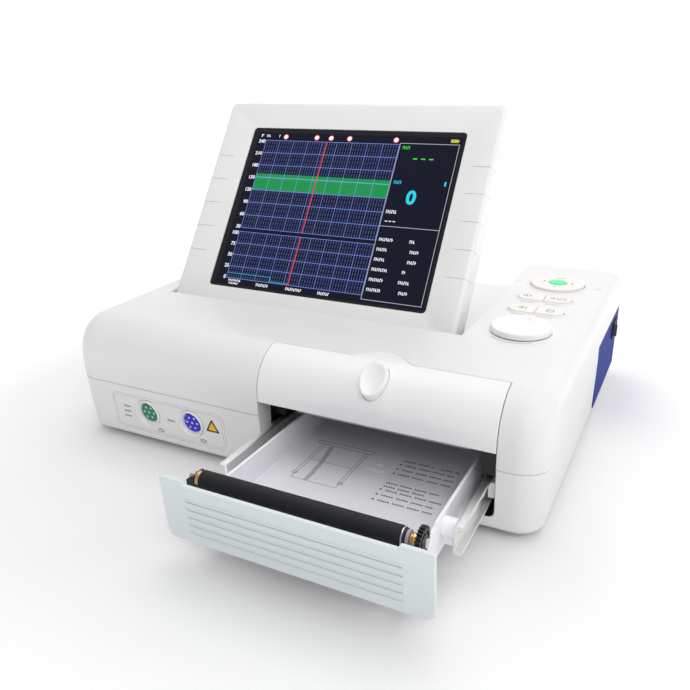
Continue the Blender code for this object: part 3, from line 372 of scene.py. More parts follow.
def loft(rings, ends=True):
    """A body through rings of equally many points: capped, or closed from the last ring to the first."""
    bm = bmesh.new()
    loops = [[bm.verts.new(p) for p in ring] for ring in rings]
    pairs = list(zip(loops, loops[1:]))
    if ends:
        bm.faces.new(loops[0])
        bm.faces.new(loops[-1])
    else:
        pairs.append((loops[-1], loops[0]))
    for low, high in pairs:
        bridge(bm, low, high)
    return bm


def lathe(profile, steps=72):
    """A turned body about local Z from (radius, height) points; it ends on the axis or closes into a ring."""
    rings = [[(r * math.cos(t), r * math.sin(t), z) for t in turns(steps)] for r, z in profile]
    if profile[0][0] > 0:
        return loft(rings, ends=False)
    bm = bmesh.new()
    loops = [[bm.verts.new(p) for p in ring] for ring in rings[1:-1]]
    tips = [bm.verts.new((0, 0, profile[end][1])) for end in (0, -1)]
    for low, high in zip(loops, loops[1:]):
        bridge(bm, low, high)
    for tip, ring in zip(tips, (loops[0], loops[-1])):
        for j in range(steps):
            bm.faces.new((tip, ring[j], ring[(j + 1) % steps]))
    return bm


def ribbon(points, width, low=0.0, high=0.05):
    """A thin flat band along a polyline in local X and Y."""
    bands = []
    for (x0, y0), (x1, y1) in zip(points, points[1:]):
        along = Vector((x1 - x0, y1 - y0)).normalized() * width / 2
        side = Vector((-along.y, along.x))
        ends = [Vector((x0, y0)) - along, Vector((x1, y1)) + along]
        outline = [ends[0] - side, ends[1] - side, ends[1] + side, ends[0] + side]
        bands.append(prism([tuple(p) for p in outline], "Z", low, high))
    return bands


def edge_round(path, radius, steps=6):
    """Cutter that rounds an edge. The path has (point, out of the surface, away from the opening)."""
    air = radius * 0.8
    section = [(-air, air), (-air, -radius * 1.07)]
    for i in range(steps + 1):
        angle = math.radians(-4 + 98 * i / steps)
        section.append((radius - radius * math.cos(angle), -radius + radius * math.sin(angle)))
    section.append((radius * 1.07, air))
    rings = []
    for point, out, side in path:
        rings.append([Vector(point) + Vector(side) * s + Vector(out) * o for s, o in section])
    return loft(rings)


# Casing


def rise(height):
    return min(max((height - DRAFT_TOP) / (ARC_START - DRAFT_TOP), 0.0), 1.0)


def top_z(y, height=TOP):
    return height + TOP_SLOPE * (y - SLOPE_Y) * rise(height)


def arc_inset(height, start, radius):
    over = min(max(height - start, 0.0), radius)
    return radius - math.sqrt(radius * radius - over * over)


def casing_ring(height, inward=0.0):
    """The casing's outline at one level; `inward` gives the same surface further in."""
    below = max(DRAFT_TOP - height, 0.0)
    foot = inward + arc_inset(BASE + inward + BASE_FILLET - height, 0.0, BASE_FILLET)
    front = foot + arc_inset(height, ARC_START, ARC_RADIUS - inward)
    rear = foot + arc_inset(height, REAR_ARC_START, REAR_ARC_RADIUS - inward)
    sides = foot + SIDE_DRAFT * below + arc_inset(height, SIDE_ARC_START, SIDE_RADIUS - inward)
    outline = rounded(
        -HALF_WIDTH + sides,
        HALF_WIDTH - sides,
        FRONT + front + FRONT_DRAFT * below,
        BACK - rear - SIDE_DRAFT * below,
        max(CORNER - sides, 6.0 - inward),
        steps=12,
        far_radius=max(REAR_CORNER - sides, 4.0 - inward),
    )
    return [(x, y, top_z(y, height)) for x, y in outline]


def casing_solid(levels, inward=0.0):
    return loft([casing_ring(level, inward) for level in levels])


def arc_levels(inward, step=5):
    radius = ARC_RADIUS - inward
    start = [REAR_ARC_START, 57.0, 60.0]
    return start + [ARC_START + radius * math.sin(math.radians(angle)) for angle in range(0, 91, step)]


def base_levels(inward, step=15):
    low = BASE + inward
    return [low + BASE_FILLET * (1 - math.cos(math.radians(angle))) for angle in range(0, 91, step)]


def well_profile(grow):
    """Side view of the screen's well; `grow` moves it outward into the casing."""
    floor_front = top_z(WELL_FRONT) - WELL_DEPTH - grow
    floor_back = top_z(WELL_ROUND_Y) - WELL_DEPTH - grow
    radius = BACK - WELL_ROUND_Y - grow
    low = 20.0 if grow else 44.0
    points = [(WELL_FRONT - grow, 130.0), (WELL_FRONT - grow, floor_front)]
    for angle in map(math.radians, range(90, -1, -6)):
        points.append((WELL_ROUND_Y + radius * math.cos(angle), floor_back - radius * (1 - math.sin(angle))))
    points.append((WELL_ROUND_Y + radius, low))
    return points + [(BACK + 20, low), (BACK + 20, 130.0)]


def bulge(x):
    """Extra depth of the cover's rear edge around the release button."""
    across = (x - BULGE_LEFT) / (BULGE_RIGHT - BULGE_LEFT)
    return BULGE_DEPTH * math.sin(math.pi * across) if 0 < across < 1 else 0.0


def bulge_stations(steps=24):
    return [BULGE_LEFT + (BULGE_RIGHT - BULGE_LEFT) * i / steps for i in range(steps + 1)]


def control_plane(x, y):
    """Local frame of the control panel: its origin is on the sloping top, its Z is the top's normal."""
    return Matrix.Translation((x, y, top_z(y))) @ Matrix.Rotation(math.atan(TOP_SLOPE), 4, "X")


def front_plane(x, z):
    """Local frame on the drafted front: X across, Y into the casing, Z up the face."""
    y = FRONT + FRONT_DRAFT * (DRAFT_TOP - z)
    return Matrix.Translation((x, y, z)) @ Matrix.Rotation(math.atan(FRONT_DRAFT), 4, "X")


def print_plane(x, z):
    """Local frame on the drafted front for printed marks: X across, Y up the face, Z out of it."""
    return front_plane(x, z) @ Matrix.Rotation(math.pi / 2, 4, "X")


def panel_seats():
    """Cutters for the seats of the two side panels."""
    front, back, low, high = PANEL[0] - GAP, PANEL[1] + GAP, PANEL[2] - GAP, PANEL[3] + GAP
    outline = [(front + PANEL_SLANT, low), (back, low), (back, high), (front, high)]
    spans = ((-HALF_WIDTH - 5, -HALF_WIDTH + 7), (HALF_WIDTH - 7, HALF_WIDTH + 5))
    return [prism(outline, "X", x0, x1) for x0, x1 in spans]


def at_bosses(radius, low, high, steps=24):
    return [rod("Z", x, y, radius, low, high, steps) for x, y in BOSSES]


def front_of(z):
    return FRONT + FRONT_DRAFT * max(DRAFT_TOP - z, 0.0)


def front_arc(angle):
    """Point of the casing's front arc and its outward direction, at an angle up from its start."""
    y = ARC_Y - ARC_RADIUS * math.cos(angle)
    z = ARC_START + ARC_RADIUS * math.sin(angle) + TOP_SLOPE * (y - SLOPE_Y)
    return (y, z), (0, -math.cos(angle), math.sin(angle))


def make_bottom_case():
    levels = base_levels(0) + [30.0, DRAFT_TOP - 10, SEAM - GAP / 2 - 0.35]
    rings = [casing_ring(level) for level in levels]
    case = raw("bottom_shell", loft(rings + [casing_ring(SEAM - GAP / 2, 0.3)]))
    hollow = raw("hollow", casing_solid(base_levels(WALL, 30) + [SEAM + 10], WALL))
    carve(hollow, box(BAY_LEFT - 2, BAY_RIGHT + 2, FRONT - 5, LIP_BACK, BAY_BOTTOM - 2, 70))
    carve(hollow, merged(at_bosses(4.5, BASE - 2, 70)))
    carve(case, hollow)
    opening = rounded(BAY_LEFT, BAY_RIGHT, BAY_BOTTOM, 80, 3.5, 6)
    cuts = [
        prism(opening, "Y", FRONT - 20, LIP_BACK + 6),
        prism(rounded(-150, -60, -50, 5, 4), "Z", BASE - 5, BASE + 5),
        box(INLET_X - 14, INLET_X + 14, BACK - 12, BACK + 10, INLET_Z - 10.5, INLET_Z + 10.5),
    ]
    cuts += panel_seats() + at_bosses(1.9, BASE - 5, 60)
    for x in (-46, -38, -30):
        cuts += [rod("Z", x, y, 2.2, BASE - 5, BASE + 5, 24) for y in (-48, -40, -32)]
    for i in range(10):
        slot = rounded(-120 + 8 * i, -117 + 8 * i, 16, 38, 1.4, 4)
        cuts.append(prism(slot, "Y", BACK - 12, BACK + 10))
    carve(case, merged(cuts))
    carve(case, merged(at_bosses(3.9, BASE - 5, BASE + 2.3, 48)))
    carve(case, merged([rod("Y", x, 0, 8.3, -4, 12) for x in SOCKETS.values()]), front_plane(0, SOCKET_Z))
    recess = rounded(LABEL[0] - GAP, LABEL[1] + GAP, LABEL[2] - SOCKET_Z, LABEL[3] - SOCKET_Z + GAP, 6, 8)
    carve(case, prism(recess, "Y", -9, 0.7), front_plane(0, SOCKET_Z))
    out = Vector((0, -1, -FRONT_DRAFT)).normalized()
    path = [((BAY_LEFT, front_of(SEAM + 1), SEAM + 1), out, (-1, 0, 0))]
    for centre, start in ((BAY_LEFT + 3.5, 180), (BAY_RIGHT - 3.5, 270)):
        for angle in map(math.radians, range(start, start + 91, 15)):
            z = BAY_BOTTOM + 3.5 + 3.5 * math.sin(angle)
            point = (centre + 3.5 * math.cos(angle), front_of(z), z)
            path.append((point, out, (math.cos(angle), 0, math.sin(angle))))
    path.append(((BAY_RIGHT, front_of(SEAM + 1), SEAM + 1), out, (1, 0, 0)))
    carve(case, edge_round(path, 0.8))
    dress(case, "casing_white", "housing", ["bottom_case"])


def well_edge():
    """The rim of the screen's well: back along the left side, across the front and along the right side."""
    slope = Vector((0, -TOP_SLOPE, 1)).normalized()
    side_path = []
    for y in (WELL_FRONT + 4, 60.0, 110.0, BACK - REAR_ARC_RADIUS):
        side_path.append((y, top_z(y), slope))
    for angle in map(math.radians, range(8, 89, 8)):
        y = BACK - REAR_ARC_RADIUS * (1 - math.sin(angle))
        z = top_z(y, REAR_ARC_START + REAR_ARC_RADIUS * math.cos(angle))
        side_path.append((y, z, Vector((0, math.sin(angle), math.cos(angle)))))
    side_path.append((BACK, 50.0, Vector((0, 1, 0))))
    path = [((WELL_LEFT, y, z), out, (-1, 0, 0)) for y, z, out in reversed(side_path)]
    for x, side in ((WELL_LEFT, -1), (WELL_RIGHT, 1)):
        path.append(((x, WELL_FRONT, top_z(WELL_FRONT)), slope, (side, -1, 0)))
    return path + [((WELL_RIGHT, y, z), out, (1, 0, 0)) for y, z, out in side_path]


def cover_edge():
    """The rim of the cover's opening: up the left side, along the rear edge and down the right side."""
    rear = COVER_BACK + GAP
    column = [((front_of(z), z), (0, -1, 0)) for z in (SEAM - 1, DRAFT_TOP, 57.0)]
    column += [front_arc(math.radians(angle)) for angle in range(0, 81, 8)]
    top = Vector((0, -TOP_SLOPE, 1)).normalized()
    path = [((BAY_LEFT, *point), out, (-1, 0, 0)) for point, out in column]
    path.append(((BAY_LEFT, rear, top_z(rear)), top, (-1, 1, 0)))
    for x in bulge_stations():
        step = 0.2
        along = Vector((2 * step, bulge(x + step) - bulge(x - step))).normalized()
        y = rear + bulge(x)
        path.append(((x, y, top_z(y)), top, (-along.y, along.x, 0)))
    path.append(((BAY_RIGHT, rear, top_z(rear)), top, (1, 1, 0)))
    return path + [((BAY_RIGHT, *point), out, (1, 0, 0)) for point, out in reversed(column)]


def make_top_case():
    rings = [casing_ring(SEAM + GAP / 2, 0.3)]
    rings += [casing_ring(level) for level in [SEAM + GAP / 2 + 0.35, DRAFT_TOP] + arc_levels(0)]
    case = raw("top_shell", loft(rings))
    hollow = raw("hollow", casing_solid([SEAM - 8, DRAFT_TOP] + arc_levels(WALL, 15), WALL))
    carve(hollow, prism(well_profile(WALL), "X", WELL_LEFT - WALL, WELL_RIGHT + WALL))
    lips = [(BAY_LEFT - 2, BAY_LEFT + 4), (BAY_RIGHT - 4, BAY_RIGHT + 2)]
    carve(hollow, merged([box(x0, x1, FRONT - 5, LIP_BACK, SEAM - 20, 60) for x0, x1 in lips]))
    carve(hollow, merged(at_bosses(4.5, SEAM - 20, 140)))
    carve(case, hollow)
    carve(case, prism(well_profile(0), "X", WELL_LEFT, WELL_RIGHT))
    rear = COVER_BACK + GAP
    outline = [(BAY_LEFT, FRONT - 20), (BAY_RIGHT, FRONT - 20), (BAY_RIGHT, rear)]
    outline += [(x, rear + bulge(x)) for x in reversed(bulge_stations())]
    carve(case, prism(outline + [(BAY_LEFT, rear)], "Z", SEAM - 6, 130))
    cuts = panel_seats()
    cuts += [rod("X", HINGE_Y, HINGE_Z, 3.4, x - 4, x + 4) for x in (WELL_LEFT - 1, WELL_RIGHT + 1)]
    carve(case, merged(cuts))
    carve(case, rod("Z", 0, 0, 4.5, -8, 8), control_plane(*KNOB))
    carve(case, rod("Z", 0, 0, 20.4, -8, 8, 96), control_plane(*PAD))
    for y in KEY_ROWS:
        both = pill(KEY_EDGES[0], KEY_EDGES[2], KEY_HALF_DEPTH, True, True, GAP)
        carve(case, prism(both, "Z", -8, 8), control_plane(0, y))
    carve(case, edge_round(well_edge(), 1.4))
    carve(case, edge_round(cover_edge(), 0.6))
    dress(case, "casing_white", "housing", ["top_case"])


def pill(x0, x1, half, round_left, round_right, grow=0.0, steps=16):
    """A pill's outline, or half of one with a straight end, centred on y = 0."""
    points = []
    if round_right:
        for angle in [-math.pi / 2 + math.pi * i / steps for i in range(steps + 1)]:
            points.append((x1 - half + (half + grow) * math.cos(angle), (half + grow) * math.sin(angle)))
    else:
        points += [(x1 + grow, -half - grow), (x1 + grow, half + grow)]
    if round_left:
        for angle in [math.pi / 2 + math.pi * i / steps for i in range(steps + 1)]:
            points.append((x0 + half + (half + grow) * math.cos(angle), (half + grow) * math.sin(angle)))
    else:
        points += [(x0 - grow, half + grow), (x0 - grow, -half - grow)]
    return points


# Printer cover and release button

BUTTON_X = 66.0
BUTTON_ANGLE = math.radians(47)
BUTTON_HALF_WIDTH, BUTTON_HALF_LENGTH = 9.5, 11.5
COVER_LEFT, COVER_RIGHT = BAY_LEFT + 0.4, BAY_RIGHT - 0.4
COVER_RISE = ARC_START - BAY_TOP - GAP
ARC_LENGTH = ARC_RADIUS * math.pi / 2
RIM = 0.7


def button_frame():
    (y, z), _ = front_arc(BUTTON_ANGLE)
    return Matrix.Translation((BUTTON_X, y, z)) @ Matrix.Rotation(math.pi / 2 - BUTTON_ANGLE, 4, "X")


def button_outline(grow=0.0, steps=64):
    """A plectrum: wide and round at the top, narrower at the bottom."""
    points = []
    for t in turns(steps):
        narrowing = 1 - 0.22 * (1 - math.sin(t)) / 2
        across = (BUTTON_HALF_WIDTH + grow) * math.cos(t) * narrowing
        points.append((across, (BUTTON_HALF_LENGTH + grow) * math.sin(t)))
    return points


def edge_drop(distance, radius):
    """How far a rounded rim lies below its surface at a distance from its edge."""
    return radius - math.sqrt(radius * radius - (radius - distance) ** 2) if distance < radius else 0.0


def cover_point(x, distance, length, inward, rim):
    """Point of the cover's skin, `distance` up its curve from the lower edge; `rim` rounds its edges."""
    sides = min(x - COVER_LEFT, COVER_RIGHT - x)
    inward += max(edge_drop(max(d, 0.0), rim) for d in (sides, distance, length - distance))
    if distance <= COVER_RISE:
        return x, FRONT + inward, top_z(FRONT, BAY_TOP + GAP + distance)
    if distance <= COVER_RISE + ARC_LENGTH:
        angle = (distance - COVER_RISE) / ARC_RADIUS
        y = ARC_Y - (ARC_RADIUS - inward) * math.cos(angle)
        return x, y, ARC_START + (ARC_RADIUS - inward) * math.sin(angle) + TOP_SLOPE * (y - SLOPE_Y)
    y = ARC_Y + distance - COVER_RISE - ARC_LENGTH
    return x, y, top_z(y) - inward


def cover_length(x):
    back = COVER_BACK + bulge(x)
    if back >= ARC_Y:
        return COVER_RISE + ARC_LENGTH + back - ARC_Y
    return COVER_RISE + ARC_RADIUS * math.acos((ARC_Y - back) / ARC_RADIUS)


def make_printer_cover():
    rim = [RIM * (1 - math.cos(math.radians(a))) for a in (0, 22, 45, 67, 90)]
    stations = [COVER_LEFT + d for d in rim] + [8.0, 26.0] + bulge_stations() + [102.0, 122.0]
    stations += [COVER_RIGHT - d for d in reversed(rim)]
    rings = []
    for x in stations:
        length = cover_length(x)
        middle = [RIM + (length - 2 * RIM) * i / 28 for i in range(1, 28)]
        places = rim + middle + [length - d for d in reversed(rim)]
        outer = [cover_point(x, s, length, 0.0, RIM) for s in places]
        inner = [cover_point(x, s, length, COVER_THICKNESS, 0.0) for s in reversed(places)]
        rings.append(outer + inner)
    cover = raw("printer_lid", loft(rings))
    carve(cover, prism(button_outline(GAP), "Z", -10, 10), button_frame())
    dress(cover, "cover_white", "housing", ["printer_cover"])


def make_release_button():
    turn = button_frame()
    heights = ((-3.5, 0.0), (2.6, 0.0), (3.1, 0.18), (3.4, 0.5), (3.55, 1.0), (3.5, 1.5))
    rings = [[(x, y, z) for x, y in button_outline(-inset)] for z, inset in heights]
    for share in (0.8, 0.6, 0.4, 0.2, 0.05):
        depth = 3.5 - 1.9 * (1 - share * share)
        rings.append([(x * share, y * share, depth) for x, y in button_outline(-1.5)])
    button = raw("release_cap", loft(rings), turn)
    join(button, rod("Z", 0, 0, 2.5, -21.5, -3.0), turn)
    dress(button, "cover_white", "release_button", ["release_button"])


# Screen


def screen_frame():
    """Local frame of the screen: X across, Y up its face, Z out of its face; the hinge is the origin."""
    up = Vector((0, math.sin(SCREEN_TILT), math.cos(SCREEN_TILT)))
    out = Vector((0, -math.cos(SCREEN_TILT), math.sin(SCREEN_TILT)))
    turn = Matrix((Vector((1, 0, 0)), up, out)).transposed().to_4x4()
    return Matrix.Translation((0, HINGE_Y, HINGE_Z)) @ turn


def shell_ring(height, inward, radius, edge, front):
    """Outline of a screen shell at a height off the hinge's plane; `edge` is the radius of its outer edge."""
    reach = SCREEN_HALF - inward
    over = min(height, reach)
    inset = inward + arc_inset(over, reach - edge, edge)
    bottom = -math.sqrt(max(reach * reach - over * over, 0.0))
    outline = rounded(
        SCREEN_LEFT + inset,
        SCREEN_RIGHT - inset,
        bottom,
        SCREEN_LENGTH - inset,
        2.0 if inward == 0 else 1.0,
        steps=6,
        far_radius=radius,
    )
    return [(x, y, height if front else -height) for x, y in outline]


def rect_ring(bounds, height, radius):
    a0, a1, b0, b1 = bounds
    return [(x, y, height) for x, y in rounded(a0, a1, b0, b1, radius, 6)]


def shell_levels(edge, reach):
    middle = [0.6, reach * 0.35, reach * 0.6]
    return middle + [reach - edge + edge * math.sin(math.radians(a)) for a in range(0, 91, 15)]


SCREEN_SCREWS = [(x, y) for x in (-122, 68) for y in (22, 152)]
SCREW = ((0, -0.6), (2.2, -0.6), (2.2, 0.1), (1.98, 0.45), (1.1, 0.55), (0.88, 0.2), (0, 0.15))
HINGE_BORE = 3.12
GROOVE_LEVELS = (41.3, 61.7, 82.2, 102.7, 123.2)


def make_screen():
    turn = screen_frame()
    edge = 3.0
    rings = [[(x, y, GAP / 2) for x, y, _ in shell_ring(0.0, 0.3, 4.0, edge, True)]]
    rings += [shell_ring(h, 0.0, 5.0, edge, True) for h in shell_levels(edge, SCREEN_HALF)]
    rings += [rect_ring(FACET, SCREEN_HALF, 3.0), rect_ring(GLASS, SCREEN_HALF - 2.0, 3.0)]
    rings += [rect_ring(GLASS, 6.4, 3.0)]
    wide = [GLASS[0] - 9, GLASS[1] + 6, GLASS[2] - 8, GLASS[3] + 10]
    rings += [rect_ring(wide, 6.4, 3.0)]
    rings += [shell_ring(0.15, SCREEN_WALL, 3.0, 1.0, True)]
    bezel = raw("screen_frame", loft(rings, ends=False), turn)
    grooves = []
    for level in GROOVE_LEVELS:
        for x0, x1 in ((SCREEN_LEFT - 4, FACET[0] + 4), (FACET[1] - 4, SCREEN_RIGHT + 4)):
            outline = [(level - 0.75, 12.0), (level - 0.1, 10.25), (level + 0.1, 10.25), (level + 0.75, 12.0)]
            grooves.append(prism(outline, "X", x0, x1))
    carve(bezel, merged(grooves), turn)
    sides = []
    for level in GROOVE_LEVELS:
        sides.append(box(SCREEN_LEFT - 2, SCREEN_LEFT + 0.5, level - 0.35, level + 0.35, 2.0, 13.0))
        sides.append(box(SCREEN_RIGHT - 0.5, SCREEN_RIGHT + 2, level - 0.35, level + 0.35, 2.0, 13.0))
    carve(bezel, merged(sides), turn)
    carve(bezel, rod("X", 0, 0, HINGE_BORE, SCREEN_LEFT - 5, SCREEN_RIGHT + 5), turn)
    dress(bezel, "casing_white", "screen", ["screen_bezel"], sharp=24)

    edge = 4.0
    rings = [[(x, y, -GAP / 2) for x, y, _ in shell_ring(0.0, 0.3, 4.0, edge, False)]]
    rings += [shell_ring(h, 0.0, 5.0, edge, False) for h in shell_levels(edge, SCREEN_HALF)]
    back = raw("screen_rear", loft(rings), turn)
    inner = [shell_ring(-0.5, SCREEN_WALL, 3.0, 1.0, False)]
    inner += [shell_ring(h, SCREEN_WALL, 3.0, 2.0, False) for h in (3.0, 6.0, 7.5, 8.4)]
    carve(back, loft(inner), turn)
    carve(back, rod("X", 0, 0, HINGE_BORE, SCREEN_LEFT - 5, SCREEN_RIGHT + 5), turn)
    details = [rod("Z", x, y, 2.6, -12, -9.4) for x, y in SCREEN_SCREWS]
    for i in range(9):
        slot = rounded(-74 + 11 * i, -68 + 11 * i, 118, 120.4, 1.1, 4)
        details.append(prism(slot, "Z", -12, -10.2))
    carve(back, merged(details), turn)
    dress(back, "casing_white", "screen", ["screen_back"])
    for x, y in SCREEN_SCREWS:
        seat = turn @ Matrix.Translation((x, y, -9.5)) @ Matrix.Rotation(math.pi, 4, "X")
        head = raw(f"screen_screw_{'left' if x < 0 else 'right'}_{y}", lathe(SCREW, 32), seat)
        dress(head, "shaft_steel", "screen")
    pane = [rect_ring((GLASS[0] + g, GLASS[1] - g, GLASS[2] + g, GLASS[3] - g), h, 2.6)
            for g, h in ((GAP, 6.6), (GAP, 8.7), (GAP + 0.15, 8.86), (GAP + 0.4, 8.9))]
    glass = raw("screen_glass", loft(pane), turn)
    dress(glass, "glass_black", "screen", ["display_glass"])
    make_picture(turn)


def make_picture(turn):
    """The lit picture, laid out in millimetres right of and below the glass's top left corner."""
    face = turn @ Matrix.Translation((GLASS[0], GLASS[3], 8.9)) @ Matrix.Diagonal((1, -1, 1, 1))
    layers = {}

    def lay(finish, level, *shapes):
        layers.setdefault((finish, level), []).extend(shapes)

    def bar(finish, level, u0, u1, v0, v1):
        lay(finish, level, box(u0, u1, v0, v1, 0.01, 0.02 * (level + 1)))

    def word(finish, u, v, letters, size=1.0, height=2.4):
        """Plain strokes in place of a word."""
        for i in range(letters):
            near = u + i * 1.25 * size
            level = v + (i % 3 - 1) * height * 0.38
            bar(finish, 4, near, near + 0.42 * size, v - height / 2, v + height / 2)
            bar(finish, 5, near, near + 0.92 * size, level - 0.22 * size, level + 0.22 * size)

    def number(finish, text, u, v, height, right=False, weight=0.07):
        curve = bpy.data.curves.new("number", "FONT")
        curve.body = text
        curve.size = height * 1.4
        curve.extrude = 0.04
        curve.offset = weight
        curve.align_x = "RIGHT" if right else "CENTER"
        curve.align_y = "CENTER"
        curve.resolution_u = 3
        holder = add_object("number", curve)
        evaluated = holder.evaluated_get(bpy.context.evaluated_depsgraph_get())
        bm = bmesh.new()
        bm.from_mesh(evaluated.to_mesh())
        bpy.data.objects.remove(holder, do_unlink=True)
        spot = Matrix.Translation((u, v, 0.06)) @ Matrix.Diagonal((1, -1, 1, 1))
        bmesh.ops.transform(bm, matrix=spot, verts=bm.verts)
        lay(finish, 6, bm)

    left, right = 14.0, 129.3
    bar("picture", 0, 5.0, 176.6, 4.2, 133.6)
    charts = ((11.0, 86.6, 7, 3), (90.0, 128.3, 4, 3))
    columns = 9
    for top, bottom, rows, splits in charts:
        bar("chart_ground", 1, left, right, top, bottom)
        row = (bottom - top) / rows
        for i in range(rows + 1):
            bar("major_line", 4, left, right, top + i * row - 0.16, top + i * row + 0.16)
        for i in range(columns + 1):
            u = left + (right - left) * i / columns
            bar("major_line", 4, u - 0.16, u + 0.16, top, bottom)
        dashes = []
        across = (right - left) / columns / 6
        for column in range(columns * 6):
            if column % 6 == 0:
                continue
            u = left + across * column
            for k in range(rows * splits):
                v = top + row * k / splits
                dashes.append(box(u - 0.15, u + 0.15, v + 0.35, v + row / splits - 0.35, 0.01, 0.06))
        lay("minor_line", 3, *dashes)
    bar("band_green", 2, left, right, 40.0, 54.0)
    bar("band_line", 5, left, right, 42.8, 43.3)
    for top, bottom, _, _ in charts:
        bar("cursor_red", 5, 68.5, 69.4, top, bottom)
    steps = [(left, 124.2), (52.8, 124.2), (52.8, 127.4), (68.6, 127.4)]
    lay("trace", 5, *ribbon(steps, 0.45, 0.02, 0.12))
    for i, value in enumerate((240, 210, 180, 150, 120, 90, 60, 30)):
        number("picture_white", str(value), 13.2, 12.0 + 10.55 * i, 2.9, True)
    for i, value in enumerate((100, 75, 50, 25, 0)):
        number("picture_white", str(value), 13.2, 91.2 + 9.15 * i, 2.9, True)
    pane = [(129.9, 10.0), (175.0, 10.0), (175.0, 131.2), (129.9, 131.2), (129.9, 10.0)]
    for line in (pane, [(129.9, 75.4), (175.0, 75.4)]):
        lay("pane_line", 4, *ribbon(line, 0.35, 0.02, 0.1))
    word("tag_green", 132.4, 13.4, 5, 1.0, 2.6)
    for u in (144.2, 150.4, 156.6):
        bar("tag_green", 4, u - 1.6, u + 1.6, 21.6, 22.5)
    word("cyan", 132.4, 41.0, 5, 1.0, 2.6)
    bar("cyan", 4, 170.7, 172.0, 38.8, 42.2)
    number("cyan", "0", 148.4, 52.8, 10.5, weight=0.5)
    word("picture_white", 132.2, 64.1, 6, 1.1, 2.6)
    for u in (134.0, 137.0, 140.0):
        bar("picture_white", 4, u - 1.0, u + 1.0, 71.2, 71.8)
    rows = ((8, 3, 155.5), (6, 5, 157.5), (6, 5, 157.5), (9, 2, 155.5), (8, 6, 154.5), (8, 5, 156.5))
    for i, (label, value, at) in enumerate(rows):
        v = 85.6 + 7.6 * i
        word("picture_white", 132.2, v, label, 1.1, 2.3)
        word("picture_white", at, v, value, 1.1, 2.3)
    word("picture_white", 8.4, 7.0, 1, 2.0, 2.2)
    word("picture_white", 13.4, 7.0, 3, 1.0, 2.0)
    word("picture_white", 25.0, 7.0, 1, 1.0, 2.0)
    for u in (31.4, 59.3, 71.8, 87.6, 125.9):
        lay("cursor_red", 4, rod("Z", u, 7.6, 2.35, 0.01, 0.1, 24))
        lay("picture_white", 5, rod("Z", u, 7.6, 1.75, 0.01, 0.14, 24))
    bar("tag_yellow", 4, 168.0, 173.6, 5.9, 8.3)
    bar("tag_yellow", 4, 173.6, 174.3, 6.6, 7.6)
    word("picture_white", 16.5, 130.0, 9, 1.0, 1.6)
    word("picture_white", 17.5, 132.4, 7, 1.0, 1.4)
    for u, letters in ((42.0, 8), (68.0, 10), (95.0, 7)):
        word("picture_white", u, 131.2, letters, 1.1, 2.2)
    for (finish, level), shapes in sorted(layers.items()):
        piece = raw(f"picture_{finish}_{level}", merged(shapes), face)
        piece.data.materials.append(FINISH[finish])
        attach(piece, "screen")


# Controls


def printed(name, turn, bands, finish="ink_grey", body="housing"):
    """Thin print on a surface, from flat outlines or bands."""
    mark = raw(name, merged(bands), turn)
    mark.data.materials.append(FINISH[finish])
    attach(mark, body)


def stack(outline_at, profile, ends=True):
    """A body through an outline at each (growth, height)."""
    return loft([[(x, y, z) for x, y in outline_at(grow)] for grow, z in profile], ends)


def band(outline_at, outer, inner, low=-0.02, high=0.05):
    """A closed flat band between two insets of an outline."""
    return stack(outline_at, ((outer, low), (outer, high), (inner, high), (inner, low)), ends=False)


def strip(points, width, low=0.0, high=0.05):
    """One flat band along a curved line."""
    sides = ([], [])
    for i, point in enumerate(points):
        along = Vector(points[min(i + 1, len(points) - 1)]) - Vector(points[max(i - 1, 0)])
        across = Vector((-along.y, along.x)).normalized() * width / 2
        sides[0].append(tuple(Vector(point) + across))
        sides[1].append(tuple(Vector(point) - across))
    return [prism(sides[0] + sides[1][::-1], "Z", low, high)]


def dashes(x, y, places, pitch, length, half, low=0.0):
    """Short bars in a row, in place of small print."""
    return [box(x + pitch * i, x + pitch * i + length, y - half, y + half, low, 0.05) for i in places]


def arc(x, y, radius, start, end, steps=12):
    angles = [math.radians(start + (end - start) * i / steps) for i in range(steps + 1)]
    return [(x + radius * math.cos(a), y + radius * math.sin(a)) for a in angles]


LEGENDS = {
    "ring": [arc(0, 0, 1.5, 0, 360, 20)],
    "wedge": [[(-1.6, 0), (0.2, 1.4), (0.2, -1.4), (-1.6, 0)], arc(0.4, 0, 1.5, -50, 50, 8)],
    "sheet": [[(-1.4, 1.5), (1.4, 1.5), (1.4, -1.5), (-1.4, -1.5), (-1.4, 1.5)], [(-0.7, 0), (0.7, 0)]],
}


def legend(kind, x, y, size, low):
    """Small generic signs: a ring, a wedge with a wave, or a sheet with a line."""
    bands = []
    for line in LEGENDS[kind]:
        bands += ribbon([(x + a * size, y + b * size) for a, b in line], 0.5, low, low + 0.06)
    return bands


